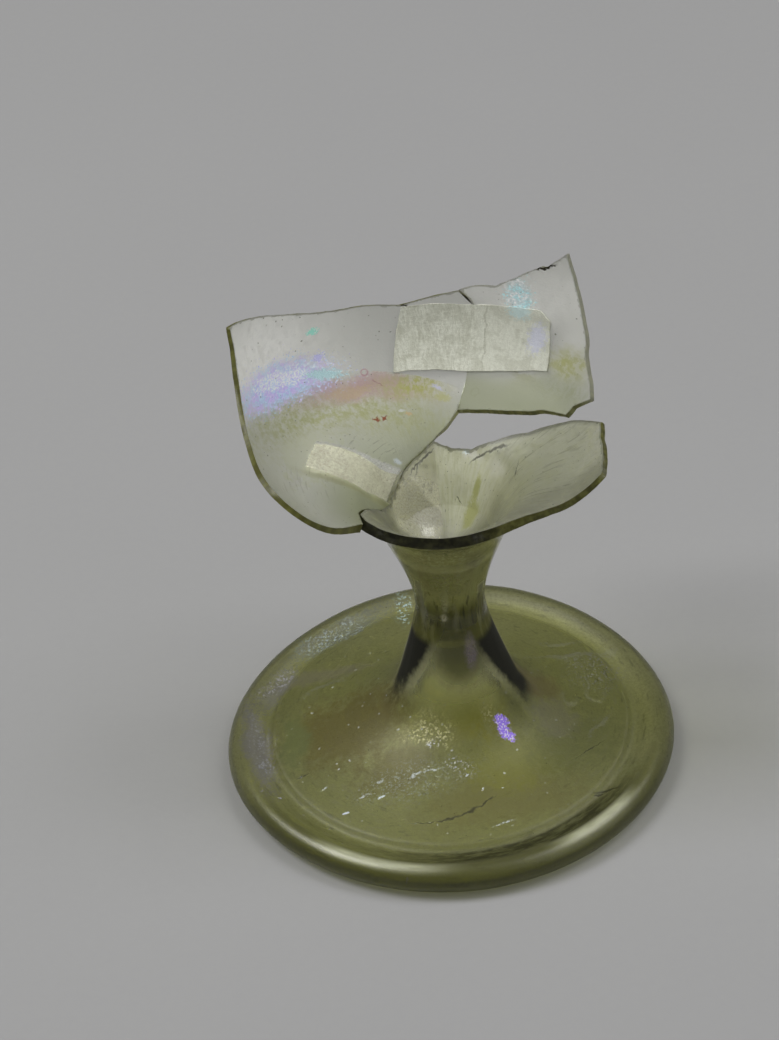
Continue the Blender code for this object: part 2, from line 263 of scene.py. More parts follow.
def outline_of(runs, radius, pitch):
    outline = []
    for run in runs:
        flat = [(radians(azimuth) * radius, along) for azimuth, along in run]
        outline += curve_through(flat, pitch)[:-1]
    area = sum(a[0] * b[1] - b[0] * a[1] for a, b in zip(outline, outline[1:] + outline[:1]))
    return outline if area > 0 else outline[::-1]


def roughened(outline, size, seed):
    """A broken edge: small bites and steps along the outline."""
    rough = []
    count = len(outline)
    for i, (x, y) in enumerate(outline):
        ax, ay = outline[i - 1]
        bx, by = outline[(i + 1) % count]
        length = hypot(bx - ax, by - ay) or 1.0
        nx, ny = (by - ay) / length, -(bx - ax) / length
        step = noise.noise(Vector((x * 0.9, y * 0.9, seed)))
        fine = noise.noise(Vector((x * 3.1, y * 3.1, seed + 9)))
        push = size * (0.7 * step + 0.5 * fine)
        rough.append((x + nx * push, y + ny * push))
    return rough


def inner_points(outline, pitch, clearance):
    """An even lattice inside the outline, kept a little off its edge."""
    left = min(x for x, y in outline)
    low, high = min(y for x, y in outline), max(y for x, y in outline)
    row_pitch = pitch * sqrt(3) / 2
    near = {}
    for x, y in outline:
        near.setdefault((int(x // 1.0), int(y // 1.0)), []).append((x, y))
    points = []
    for row in range(ceil((high - low) / row_pitch)):
        y = low + row_pitch * (row + 0.5)
        cuts = []
        for a, b in zip(outline, outline[1:] + outline[:1]):
            if (a[1] > y) != (b[1] > y):
                cuts.append(a[0] + (b[0] - a[0]) * (y - a[1]) / (b[1] - a[1]))
        cuts.sort()
        for start, end in zip(cuts[::2], cuts[1::2]):
            first = ceil((start - left) / pitch - 0.5 * (row % 2))
            x = left + pitch * (first + 0.5 * (row % 2))
            while x < end:
                cell = (int(x // 1.0), int(y // 1.0))
                close = False
                for i in (-1, 0, 1):
                    for j in (-1, 0, 1):
                        for px, py in near.get((cell[0] + i, cell[1] + j), ()):
                            close = close or hypot(px - x, py - y) < clearance
                if not close:
                    points.append((x, y))
                x += pitch
    return points


def build_sheet(name, material, node, runs, radius, pitch, faces_of, rough, seed, edge_rows=3):
    """A bent sheet between two faces.  faces_of(azimuth, along, t) gives a depth for t in 0..1."""
    outline = roughened(outline_of(runs, radius, pitch), rough, seed)
    points = [Vector(p) for p in outline]
    points += [Vector(p) for p in inner_points(outline, pitch, 0.62 * pitch)]
    triangulated = delaunay_2d_cdt(points, [], [list(range(len(outline)))], 1, 1e-5)
    verts, faces = triangulated[0], triangulated[2]
    mesh = start_mesh()
    spots = [(degrees(x / radius), y) for x, y in verts]

    def corner(index, t, push=(0.0, 0.0)):
        azimuth, along = spots[index]
        azimuth += degrees(push[0] / radius)
        along += push[1]
        r, z = wall_point(along, faces_of(azimuth, along, t))
        return mesh.verts.new(placed(azimuth, r, z))

    sides = {}
    for a, b, c in faces:
        sides.update({(a, b): 1, (b, c): 1, (c, a): 1})
    border = [(a, b) for a, b in sides if (b, a) not in sides]
    outward = {}
    for a, b in border:
        dx, dy = verts[b][0] - verts[a][0], verts[b][1] - verts[a][1]
        length = hypot(dx, dy) or 1.0
        for i in (a, b):
            n = outward.setdefault(i, [0.0, 0.0])
            n[0] += dy / length / 2
            n[1] -= dx / length / 2
    tree = KDTree(4 * len(outline))
    for a, b in zip(outline, outline[1:] + outline[:1]):
        for t in (0.0, 0.25, 0.5, 0.75):
            tree.insert((a[0] + (b[0] - a[0]) * t, a[1] + (b[1] - a[1]) * t, 0.0), 0)
    tree.balance()
    near = [tree.find((x, y, 0.0))[2] for x, y in verts]
    outer = [corner(i, 0.0) for i in range(len(spots))]
    inner = [corner(i, 1.0) for i in range(len(spots))]
    rims = {}
    for i in outward:
        column = [outer[i]]
        for k in range(1, edge_rows + 1):
            t = k / (edge_rows + 1)
            x, y = verts[i]
            swell = noise.noise(Vector((x * 0.55, y * 0.55, seed + 3))) * 0.09 * sin(pi * t)
            swell += noise.noise(Vector((x * 2.1, y * 2.1, seed + 5 * t))) * 0.035
            column.append(corner(i, t, (outward[i][0] * swell, outward[i][1] * swell)))
        column.append(inner[i])
        rims[i] = column

    places = [(azimuth, along, rim) for (azimuth, along), rim in zip(spots, near)]
    for corners in faces:
        add_face(mesh, [outer[i] for i in corners], [places[i] for i in corners], OUTER_FACE)
        add_face(mesh, [inner[i] for i in corners[::-1]], [places[i] for i in corners[::-1]], INNER_FACE)
    for a, b in border:
        for k in range(edge_rows + 1):
            quad = (rims[b][k], rims[a][k], rims[a][k + 1], rims[b][k + 1])
            add_face(mesh, quad, [places[i] for i in (b, a, a, b)], BROKEN_FACE)
    return finish_piece(name, mesh, material, node)


# ------------------------------------------------------------------ foot, stem and lobe
COLUMNS = 264
WALL_ROWS = 44
EDGE_ROWS = 4


def build_base(material):
    step = 360.0 / COLUMNS
    azimuths = [BASE_BREAK[0][0] + step * i for i in range(COLUMNS)]
    for corner in BASE_CORNERS:
        nearest = min(range(COLUMNS), key=lambda i: abs(azimuths[i] - corner))
        azimuths[nearest] = float(corner)
    under = curve_through(UNDER_SECTION, 0.55)
    inside = curve_through(FOLD_INSIDE, 0.35)[1:]
    lip = curve_through(FOLD_LIP, 0.25)[1:]
    outside = curve_through(FOLD_OUTSIDE, 0.3)
    stem_rows = ceil((LOWEST_WALL - LOW_END) / 0.42)
    mesh = start_mesh()
    kick_tip = mesh.verts.new(placed(0, 0.0, KICK_HEIGHT))
    floor_tip = mesh.verts.new(placed(0, 0.0, BOWL_FLOOR_HEIGHT))
    columns = []
    for azimuth in azimuths:
        a = radians(azimuth)
        column, reach = [], []
        top = value_at(BASE_BREAK, azimuth)
        top += 0.10 * noise.noise(Vector((azimuth * 0.16, 2.0, 0.0)))
        top += 0.045 * noise.noise(Vector((azimuth * 0.6, 5.0, 0.0)))

        def put(r, z, along, kind):
            column.append((mesh.verts.new(placed(azimuth, r, z)), along, kind))
            reach.append(max(0.0, top - along) if along > -12.0 else 9.0)

        for r, z in under:
            dent = 0.05 * noise.noise(Vector((cos(a) * r * 0.3, sin(a) * r * 0.3, z * 0.3)))
            put(r, z + dent, -60.0, UNDER_FACE)
        for r, z in inside:
            put(r, z, -55.0, UNDER_FACE)
        for r, z in lip + outside[:3]:
            put(r, z, -52.0, FOLD_FACE)
        for r, z in outside[3:-1]:
            lift = 0.035 * noise.noise(Vector((cos(a) * r * 0.25, sin(a) * r * 0.25, 5.0)))
            put(r, z + lift * min(1.0, (r - 19.9) * 0.8), -50.0, OUTER_FACE)
        for i in range(stem_rows):
            along = LOW_END + (LOWEST_WALL - LOW_END) * i / stem_rows
            depth = ripple(azimuth, along, 0) * min(1.0, (along - LOW_END) * 0.5)
            r, z = wall_point(along, depth)
            put(r, z, along, OUTER_FACE)
        for i in range(WALL_ROWS + 1):
            along = LOWEST_WALL + (top - LOWEST_WALL) * i / WALL_ROWS
            r, z = wall_point(along, ripple(azimuth, along, 0))
            put(r, z, along, OUTER_FACE)
        full = thickness(top)
        for k in range(1, EDGE_ROWS + 1):
            t = k / (EDGE_ROWS + 1)
            swell = 0.16 * sin(pi * t) * noise.noise(Vector((azimuth * 0.05, 8.0, t)))
            swell += 0.05 * noise.noise(Vector((azimuth * 0.3, 11.0, t * 3)))
            outer, inner = ripple(azimuth, top, 0), full + ripple(azimuth, top, 1)
            r, z = wall_point(top + swell, outer + (inner - outer) * t)
            put(r, z, top, BROKEN_FACE)
        for i in range(WALL_ROWS + 1):
            along = top + (LOWEST_WALL - top) * i / WALL_ROWS
            r, z = wall_point(along, thickness(along) + ripple(azimuth, along, 1))
            put(r, z, along, INNER_FACE)
        for r, z in FLOOR_SECTION:
            put(r, z, LOWEST_WALL - (4.5 - r), INNER_FACE)
        columns.append((azimuth, column, reach))

    for index, (azimuth, here, reach) in enumerate(columns):
        following, there, reach_there = columns[(index + 1) % COLUMNS]
        if following < azimuth:
            following += 360.0
        add_face(mesh, (kick_tip, here[0][0], there[0][0]),
                 [(azimuth, -60, 9), (azimuth, -60, 9), (following, -60, 9)], UNDER_FACE)
        add_face(mesh, (floor_tip, there[-1][0], here[-1][0]),
                 [(azimuth, -8, 9), (following, -8, 9), (azimuth, -8, 9)], INNER_FACE)
        for i in range(len(here) - 1):
            (p, low, kind), (q, high, kind_up) = here[i], here[i + 1]
            kind = kind if kind[1] >= kind_up[1] else kind_up
            far_low, far_high = there[i][1], there[i + 1][1]
            add_face(mesh, (p, q, there[i + 1][0], there[i][0]),
                     [(azimuth, low, reach[i]), (azimuth, high, reach[i + 1]),
                      (following, far_high, reach_there[i + 1]), (following, far_low, reach_there[i])], kind)
    return finish_piece("glass_foot_stem_lobe", mesh, material, "base_foot_and_stem")


# ------------------------------------------------------------------ material helpers
class Maker:
    """Short names for building a node material."""

    def __init__(self, name, dimensions="3D"):
        self.material = bpy.data.materials.new(name)
        self.material.use_nodes = True
        self.tree = self.material.node_tree
        self.tree.nodes.clear()
        self.output = self.tree.nodes.new("ShaderNodeOutputMaterial")
        self.dimensions = dimensions
        self.made = {}

    def node(self, kind, inputs=None, **settings):
        node = self.tree.nodes.new("ShaderNode" + kind)
        for key, value in settings.items():
            setattr(node, key, value)
        for key, value in (inputs or {}).items():
            self.feed(node.inputs[key], value)
        return node

    def feed(self, socket, value):
        if isinstance(value, bpy.types.NodeSocket):
            self.tree.links.new(value, socket)
        elif isinstance(value, (tuple, list)) and len(value) == 3 and socket.type == "RGBA":
            socket.default_value = (*value, 1.0)
        else:
            socket.default_value = value

    def math(self, operation, a, b=0.0, clamp=False):
        return self.node("Math", {0: a, 1: b}, operation=operation, use_clamp=clamp).outputs[0]

    def plus(self, a, b, clamp=False):
        return self.math("ADD", a, b, clamp)

    def less(self, a, b, clamp=False):
        return self.math("SUBTRACT", a, b, clamp)

    def axes(self, vector):
        return self.node("SeparateXYZ", {0: vector}).outputs

    def vector(self, operation, a, b=(0.0, 0.0, 0.0)):
        node = self.node("VectorMath", {0: a, 1: b}, operation=operation)
        return node.outputs["Value" if operation in ("LENGTH", "DOT_PRODUCT") else "Vector"]

    def scaled(self, vector, amount):
        node = self.node("VectorMath", {0: vector}, operation="SCALE")
        self.feed(node.inputs["Scale"], amount)
        return node.outputs[0]

    def stretched(self, vector, scale, turn=0.0):
        return self.node("Mapping", {"Vector": vector, "Rotation": (0.0, 0.0, radians(turn)),
                                     "Scale": scale}).outputs[0]

    def mix(self, factor, a, b):
        node = self.node("Mix", data_type="RGBA")
        for index, value in ((0, factor), (6, a), (7, b)):
            self.feed(node.inputs[index], value)
        return node.outputs[2]

    def blend(self, factor, a, b):
        node = self.node("Mix", data_type="FLOAT")
        for index, value in ((0, factor), (2, a), (3, b)):
            self.feed(node.inputs[index], value)
        return node.outputs[0]

    def ramp(self, value, low, high, to_low=0.0, to_high=1.0):
        node = self.node("MapRange", {0: value, 1: low, 2: high, 3: to_low, 4: to_high},
                         interpolation_type="SMOOTHSTEP")
        return node.outputs[0]

    def noise(self, vector, scale, detail=2.0, roughness=0.5):
        key = (vector.as_pointer(), scale, detail, roughness)
        if key not in self.made:
            self.made[key] = self.node("TexNoise", {"Vector": vector, "Scale": scale, "Detail": detail,
                                                    "Roughness": roughness}, noise_dimensions=self.dimensions)
        return self.made[key]

    def grain(self, vector, scale, detail=2.0, roughness=0.5):
        return self.noise(vector, scale, detail, roughness).outputs["Fac"]

    def warped(self, vector, scale, amount, detail=1.0):
        colour = self.noise(vector, scale, detail).outputs["Color"]
        offset = self.vector("SUBTRACT", colour, (0.5, 0.5, 0.5))
        return self.vector("ADD", vector, self.scaled(offset, amount))

    def away(self, vector, centre, size, angle=0.0):
        """Zero at the middle of an ellipse (or ellipsoid), one on its edge."""
        size = size if len(size) == 3 else (*size, 1000.0)
        centre = centre if len(centre) == 3 else (*centre, 0.0)
        offset = self.vector("SUBTRACT", vector, centre)
        if angle == 0:
            return self.vector("LENGTH", self.vector("MULTIPLY", offset, tuple(1.0 / s for s in size)))
        c, s = cos(radians(angle)), sin(radians(angle))
        along = self.vector("DOT_PRODUCT", offset, (c / size[0], s / size[0], 0.0))
        aside = self.vector("DOT_PRODUCT", offset, (-s / size[1], c / size[1], 0.0))
        return self.vector("LENGTH", self.node("CombineXYZ", {0: along, 1: aside}).outputs[0])

    def spot(self, vector, centre, size, angle=0.0, soft=0.35):
        return self.ramp(self.away(vector, centre, size, angle), 1.0 + soft, 1.0 - soft)

    def flaky(self, vector, centre, size, angle, grain, spread=2.0, sharp=0.15):
        """A patch that breaks up into flakes towards its edge."""
        torn = self.math("MULTIPLY", self.less(grain, 0.5), spread)
        away = self.plus(self.away(vector, centre, size, angle), torn)
        return self.ramp(away, 1.0 + sharp, 1.0 - sharp)

    def stroke(self, vector, start, end, width, soft=0.5):
        """A narrow mark from one place to another."""
        (x0, y0), (x1, y1) = start, end
        turn = degrees(Vector((1.0, 0.0)).angle_signed(Vector((x1 - x0, y0 - y1))))
        return self.spot(vector, ((x0 + x1) / 2, (y0 + y1) / 2),
                         (hypot(x1 - x0, y1 - y0) / 2, width), turn, soft)

    def times(self, *values):
        product = values[0]
        for value in values[1:]:
            product = self.math("MULTIPLY", product, value)
        return product

    def most(self, *values):
        result = values[0]
        for value in values[1:]:
            result = self.math("MAXIMUM", result, value)
        return result


class Film:
    """Weathering over clear glass: its colour, its cover (0 clear, 1 solid) and its roughness."""

    def __init__(self, maker, colour, cover, roughness):
        self.maker, self.colour, self.cover, self.roughness = maker, colour, cover, roughness
        self.within = []

    def lay(self, look, *shares):
        """Lay a look, which is a colour, a cover and perhaps a roughness, where all the shares allow it."""
        m = self.maker
        mask = m.times(*self.within, *shares)
        colour, cover, *roughness = look
        self.colour = m.mix(mask, self.colour, colour)
        self.cover = m.blend(mask, self.cover, cover)
        if roughness:
            self.roughness = m.blend(mask, self.roughness, roughness[0])

    def smear(self, look, places, centre, size, turn, soft, *shares):
        self.lay(look, self.maker.spot(places, centre, size, turn, soft), *shares)

    def flakes(self, look, places, centre, size, turn, texture, spread, sharp, *shares):
        self.lay(look, self.maker.flaky(places, centre, size, turn, texture, spread, sharp), *shares)

    def mark(self, look, places, start, end, width, *shares):
        self.lay(look, self.maker.stroke(places, start, end, width), *shares)

    def ring(self, look, places, centre, size, hole, *shares):
        m = self.maker
        ring = m.less(m.spot(places, centre, size, 0, 0.2), m.spot(places, centre, hole, 0, 0.3))
        self.lay(look, ring, *shares)


GLASS_INDEX = 1.5
LILAC = (0.60, 0.60, 0.96)
# pearly weathering haze, also laid as painted sheen
PEARLY_HAZE_AND_SHEEN = (0.93, 0.93, 0.90)


def finish_glass(m, film, normal, absorbed, density, lamp_tint, shine):
    surface = m.node("BsdfPrincipled", {
        "Base Color": film.colour, "Roughness": film.roughness, "IOR": GLASS_INDEX,
        "Specular IOR Level": shine, "Transmission Weight": m.less(1.0, film.cover), "Normal": normal,
    })
    lamp_light = m.node("BsdfTransparent", {"Color": lamp_tint})
    path = m.node("LightPath")
    mixed = m.node("MixShader", {0: path.outputs["Is Shadow Ray"], 1: surface.outputs[0],
                                 2: lamp_light.outputs[0]})
    m.tree.links.new(mixed.outputs[0], m.output.inputs["Surface"])
    volume = m.node("VolumeAbsorption", {"Color": absorbed, "Density": density})
    m.tree.links.new(volume.outputs[0], m.output.inputs["Volume"])
    return m.material


def finish_matt(m, base, roughness, height, strength):
    bump = m.node("Bump", {"Strength": strength, "Distance": 0.0001, "Height": height})
    surface = m.node("BsdfPrincipled", {"Base Color": base, "Roughness": roughness,
                                        "Normal": bump.outputs[0], "Specular IOR Level": 0.1})
    m.tree.links.new(surface.outputs[0], m.output.inputs["Surface"])
    return m.material


def at(azimuth, along):
    return (radians(azimuth) * FLAT, along)


def surfaces(m):
    """Places on the wall, the distance to the broken edge, and masks for each kind of face."""
    wall = m.node("Attribute", attribute_type="GEOMETRY", attribute_name="wall").outputs["Vector"]
    zone = m.node("Attribute", attribute_type="GEOMETRY", attribute_name="zone").outputs["Vector"]
    side, edge, under = m.axes(zone)
    rim = m.axes(wall)[2]
    flat = m.vector("MULTIPLY", wall, (1.0, 1.0, 0.0))
    inside = m.times(side, m.less(1.0, edge, clamp=True))
    return flat, rim, inside, edge, under


def millimetres(m):
    where = m.node("TexCoord").outputs["Object"]
    return m.scaled(where, 1000.0)


def thin_haze(m, space, low, high):
    cloud = m.grain(space, 0.16, 3.0, 0.6)
    grain = m.grain(space, 2.6, 3.0, 0.65)
    haze = m.times(m.ramp(cloud, 0.35, 0.65, 0.6, 1.0), m.ramp(grain, 0.3, 0.7, 0.5, 1.5))
    return m.plus(low, m.times(haze, high - low))


def closed_crack(m, flat):
    """One on most of the wall, a fifth along the closed crack between the two walls."""
    beside = m.spot(flat, at(75, 13.2), (0.9, 5.9), 0, 0.15)
    return m.less(1.0, m.times(beside, 0.8))


def lay_edge_shade(m, film, space, rim, width, strength):
    """Painted shade: the dark line that a broken edge draws just inside itself."""
    chips = m.grain(space, 1.3, 2.0, 0.6)
    reach = m.less(rim, m.ramp(chips, 0.45, 0.75, 0.0, width))
    film.lay(((0.1, 0.1, 0.045), 0.55), m.ramp(reach, width, 0.4 * width), strength)


def surface_normal(m, space, pits, strength):
    fine = m.grain(space, 4.0, 2.0, 0.6)
    waves = m.grain(space, 0.5, 2.0, 0.5)
    height = m.plus(m.times(fine, pits), waves)
    return m.node("Bump", {"Strength": strength, "Distance": 0.00006, "Height": height}).outputs[0]


WALL_TINT = (0.90, 0.903, 0.875)
INK = (0.018, 0.018, 0.006)
CHIPPED = ((0.02, 0.018, 0.008), 0.95)
PITTED = ((0.08, 0.08, 0.03), 0.6)


def start_wall(m, wander, scale):
    """The film and the places and textures that both walls share."""
    flat, rim, inside, edge = surfaces(m)[:4]
    film = Film(m, WALL_TINT, thin_haze(m, flat, 0.02, 0.075), 0.50)
    film.within = [inside]
    loose = m.warped(m.warped(flat, 0.3, wander), scale, 0.7)
    crisp = m.warped(flat, 2.4, 0.5)
    grain = m.grain(flat, 3.2, 4.0, 0.75)
    coarse = m.grain(flat, 1.1, 3.0, 0.7)
    mottle = m.grain(m.stretched(flat, (1.5, 0.9, 1.0), -12.0), 1.2, 4.0, 0.75)
    pits = m.times(m.ramp(m.grain(flat, 3.4, 0.0), 0.84, 0.88), m.ramp(m.grain(flat, 0.5, 2.0), 0.42, 0.60))
    return film, flat, rim, edge, loose, crisp, grain, coarse, mottle, pits


def finish_wall(m, film, flat, rim, edge, rim_width, rim_strength, chips, dark, pale, *shares):
    """The painted shade just inside the edge, the chips and the broken faces in painted shade, then the glass
    itself.
    """
    open_edge = closed_crack(m, flat)
    film.within = []
    lay_edge_shade(m, film, flat, rim, rim_width, m.times(open_edge, rim_strength))
    film.lay(CHIPPED, m.most(*chips))
    # the broken faces in painted shade, varied by the hackle
    hackle = m.grain(flat, 1.4, 3.0, 0.65)
    film.lay((m.mix(m.ramp(hackle, 0.35, 0.68), dark, pale), 0.82, 0.35), edge, open_edge, *shares)
    return finish_glass(m, film, surface_normal(m, flat, 0.5, 0.5), (0.58, 0.60, 0.40), 290.0,
                        (0.81, 0.812, 0.80), 0.25)


def left_wall_material():
    m = Maker("weathered_left_wall", "2D")
    film, flat, rim, edge, loose, crisp, grain, coarse, mottle, pits = start_wall(m, 1.6, 1.5)
    # pearly haze with a painted sheen at the upper left, thinner towards the middle
    film.smear((PEARLY_HAZE_AND_SHEEN, 0.9, 0.5), loose, at(150, 21.4), (7.0, 4.2), 28, 0.8,
               m.ramp(mottle, 0.3, 0.6, 0.6, 1.0))
    # an older strip of tape left a clean straight-edged patch above the line
    around, along = m.axes(flat)[:2]
    line = m.plus(m.times(m.less(around, at(104, 0)[0]), 0.43), 12.35)
    below = m.ramp(m.less(along, line), 0.06, -0.06)
    keep = m.most(below, m.ramp(around, at(128, 0)[0], at(132, 0)[0]))
    # clear glass where the lower tape, which lies outside the wall, shows through
    x, y = m.axes(crisp)[:2]

    def past(start_x, start_y, turn_x, turn_y):
        """How far, in mm, a place lies beyond the line through a start."""
        return m.plus(m.times(m.less(x, start_x), turn_x), m.times(m.less(y, start_y), turn_y))

    low_side = m.most(past(37.6, 9.8, 0.865, -0.50), past(34.3, 4.1, 0.53, -0.85))
    tape = m.times(*[m.ramp(side, -0.2, 0.2) for side in (
        low_side, past(42.0, 5.0, -1.0, 0.0), past(41.7, 2.8, -0.71, 0.71), past(40.0, 9.75, 0.0, -1.0))])
    film.roughness = m.blend(tape, film.roughness, 0.14)
    bare = m.less(1.0, tape)
    # yellow-green film over the lower half
    field = m.times(keep, bare, m.spot(loose, at(134, 11.2), (12.0, 3.0), 30, 0.8))
    film.lay(((0.50, 0.54, 0.34), 0.15), bare, m.ramp(along, 11.0, 4.0), 0.9)
    film.lay(((0.46, 0.48, 0.20), 0.3), field, m.ramp(coarse, 0.36, 0.66, 0.4, 1.0))
    film.lay(((0.40, 0.42, 0.10), 0.34), field, m.ramp(mottle, 0.4, 0.72), 0.8)
    film.flakes(((0.62, 0.65, 0.40), 0.26), loose, at(165, 9.5), (5.0, 3.0), 30, coarse, 2.0, 0.4, bare, 0.55)
    film.smear(((0.56, 0.36, 0.38), 0.34), loose, at(118, 11.4), (6.2, 1.2), 22, 0.7, keep,
               m.ramp(grain, 0.3, 0.6, 0.5, 1.0))
    for look, centre, size, turn, spread in (
            (((0.54, 0.29, 0.33), 0.38), (111, 12.0), (3.0, 0.9), 18, 1.6),
            (((0.58, 0.40, 0.20), 0.36), (124, 12.0), (2.4, 0.8), 20, 2.0),
            (((0.56, 0.38, 0.46), 0.40), (133, 13.6), (1.6, 0.6), 25, 1.8)):
        film.flakes(look, loose, at(*centre), size, turn, grain, spread, 0.4, keep, 0.7)
    film.smear(((0.44, 0.44, 0.10), 0.4), loose, at(97, 10.1), (3.4, 1.6), 18, 0.8, keep,
               m.ramp(mottle, 0.36, 0.6, 0.4, 1.0))
    film.flakes(((0.52, 0.52, 0.14), 0.38), crisp, at(84.5, 8.3), (0.9, 0.5), 20, grain, 2.0, 0.4, 0.7)
    film.mark((LILAC, 0.6), crisp, at(89.3, 10.1), at(85, 9.25), 0.2, 0.7)
    # the violet and blue iridescence
    speck = m.ramp(m.grain(flat, 5.0, 1.0), 0.44, 0.56, 0.35, 1.0)
    hue = m.ramp(coarse, 0.42, 0.58)
    torn = m.warped(flat, 0.7, 1.0)
    film.smear((m.mix(hue, (0.54, 0.47, 1.0), (0.45, 0.57, 1.0)), 0.86, 0.3), torn, at(148, 17.2),
               (5.2, 1.9), 25, 0.6, 0.9)
    film.flakes((m.mix(hue, (0.70, 0.62, 1.0), (0.60, 0.76, 1.0)), 1.0, 0.3), torn, at(148, 17.2),
                (5.2, 1.9), 25, grain, 4.4, 0.2, speck)
    film.flakes(((0.90, 0.94, 1.0), 1.0, 0.25), m.warped(flat, 1.2, 0.6), at(145.5, 17.6), (3.6, 0.9), 28,
                grain, 3.8, 0.25, speck)
    film.flakes(((0.52, 0.84, 0.90), 0.62, 0.25), flat, at(129, 15.0), (1.9, 0.55), 31, grain, 3.0, 0.4, 0.9)
    film.flakes((LILAC, 0.85, 0.25), flat, at(128.4, 17.0), (0.5, 0.4), 0, grain, 3.0, 0.3)
    film.flakes(((0.42, 0.92, 0.78), 0.85, 0.25), flat, at(127, 19.9), (0.5, 0.3), 20, grain, 3.6, 0.3)
    film.ring(((0.40, 0.14, 0.20), 0.6), flat, at(114.7, 13.3), (0.40, 0.44), (0.24, 0.27), 0.75)
    film.mark(((0.30, 0.10, 0.10), 0.6), crisp, at(113, 12.2), at(109.5, 11.0), 0.07, 0.7)
    for start, end in (((123, 7.7), (119.5, 7.1)), ((121.5, 7.1), (119.3, 7.7)), ((118.5, 7.0), (115, 7.4)),
                       ((117.8, 7.6), (116.2, 7.0))):
        film.mark(((0.20, 0.05, 0.015), 0.9), crisp, at(*start), at(*end), 0.13)
    film.flakes(((0.80, 0.82, 0.96), 0.6), flat, at(106.4, 7.45), (0.4, 0.2), 20, grain, 3.0, 0.15, 0.5)
    film.flakes(((0.66, 0.44, 0.18), 0.5), flat, at(103.5, 6.9), (0.4, 0.2), 20, grain, 3.0, 0.15, 0.7)
    film.flakes(((0.70, 0.78, 0.88), 0.6), flat, at(124, 2.6), (0.7, 0.3), 20, grain, 3.0, 0.3, 0.8)
    # fine dark scratches and scattered dark pits
    lines = m.ramp(m.grain(m.stretched(flat, (0.3, 3.6, 1.0), -30.0), 1.0, 3.0, 0.65), 0.60, 0.66)
    film.smear(((0.07, 0.07, 0.03), 0.5), flat, at(138, 5.4), (4.6, 1.7), 28, 0.4, lines, 0.5)
    film.smear(((0.10, 0.10, 0.05), 0.45), flat, at(188, 10.0), (5.0, 3.0), 28, 0.4, lines, 0.35)
    film.lay(PITTED, pits, 0.8)
    # painted shadow along the lower tape's left and lower edge
    film.lay(((0.30, 0.30, 0.12), 0.3), m.most(m.stroke(crisp, (43.1, 10.2), (43.0, 2.2), 0.5, 0.7),
                                               m.stroke(crisp, (43.2, 3.0), (37.4, -2.8), 0.6, 0.7)), 0.6)
    chips = [m.stroke(crisp, at(99.5, 20.1), at(95, 19.4), 0.13, 0.3),
             m.stroke(flat, at(79.2, 20.9), at(74.6, 19.3), 0.09, 0.4)]
    return finish_wall(m, film, flat, rim, edge, 0.13, 0.5, chips, (0.085, 0.083, 0.02), (0.14, 0.14, 0.032))


def right_wall_material():
    m = Maker("weathered_right_wall", "2D")
    film, flat, rim, edge, loose, crisp, grain, coarse, mottle, pits = start_wall(m, 1.4, 1.6)
    # pearly haze with painted sheen, and yellow-green weathering
    film.smear((PEARLY_HAZE_AND_SHEEN, 0.52, 0.5), loose, at(47, 22.0), (4.8, 2.8), -25, 0.7,
               m.ramp(mottle, 0.3, 0.6, 0.6, 1.0))
    film.smear((PEARLY_HAZE_AND_SHEEN, 0.42, 0.5), loose, at(68, 20.6), (2.6, 1.1), 0, 0.6, 0.8)
    film.smear((PEARLY_HAZE_AND_SHEEN, 0.42, 0.5), loose, at(36, 18.6), (1.6, 1.8), 0, 0.6, 0.8)
    film.smear(((0.50, 0.51, 0.18), 0.42), loose, at(37, 15.6), (2.6, 1.8), -25, 0.7,
               m.ramp(coarse, 0.36, 0.62, 0.55, 1.0))
    film.smear(((0.40, 0.42, 0.12), 0.3), loose, at(34, 12.5), (3.2, 1.1), -25, 0.7,
               m.ramp(mottle, 0.42, 0.6, 0.1, 0.7))
    # a pale blue patch at the top and glittering crumbs lower down
    film.smear(((0.50, 0.80, 0.90), 0.45, 0.3), crisp, at(60, 20.9), (0.9, 1.8), -12, 0.4, 0.6)
    film.flakes((m.mix(m.ramp(coarse, 0.4, 0.6), (0.6, 0.95, 1.0), (1.0, 1.0, 1.0)), 1.0, 0.25),
                m.warped(flat, 0.8, 0.8), at(60, 20.9), (1.0, 1.9), -12, grain, 4.0, 0.2,
                m.ramp(m.grain(flat, 5.0, 1.0), 0.46, 0.56, 0.25, 1.0))
    sparkle = m.ramp(m.grain(flat, 4.0, 2.0, 0.7), 0.54, 0.60)
    film.smear(((0.42, 0.42, 0.14), 0.3), crisp, at(49, 11.4), (1.9, 1.2), -30, 0.5, 0.6)
    film.smear(((0.90, 0.90, 0.60), 0.85), crisp, at(49, 11.4), (1.7, 1.1), -30, 0.5, sparkle)
    film.smear(((0.76, 0.78, 0.46), 0.6), crisp, at(36, 11.0), (2.2, 0.9), -20, 0.5, sparkle, 0.5)
    film.smear(((0.30, 0.30, 0.06), 0.45), crisp, at(52, 12.3), (1.2, 0.35), 0, 0.5, 0.5)
    film.ring(((0.34, 0.34, 0.16), 0.5), crisp, at(70, 9.2), (0.5, 0.6), (0.3, 0.38), 0.6)
    film.lay(PITTED, pits, 0.8)
    along = m.axes(flat)[1]
    film.lay(((0.34, 0.37, 0.21), 0.3), m.ramp(along, 14.0, 10.0), 0.9)
    film.smear(((0.34, 0.37, 0.22), 0.28), loose, at(37, 11.6), (5.0, 2.6), -20, 0.6, 0.8)
    chips = [m.stroke(crisp, at(56, 24.2), at(50, 25.4), 0.16, 0.3),
             m.stroke(flat, at(79.2, 20.9), at(73.6, 19.0), 0.09, 0.4)]
    return finish_wall(m, film, flat, rim, edge, 0.12, 0.45, chips, (0.11, 0.11, 0.03), (0.20, 0.20, 0.06),
                       m.ramp(along, 12.5, 15.5, 1.0, 0.55))


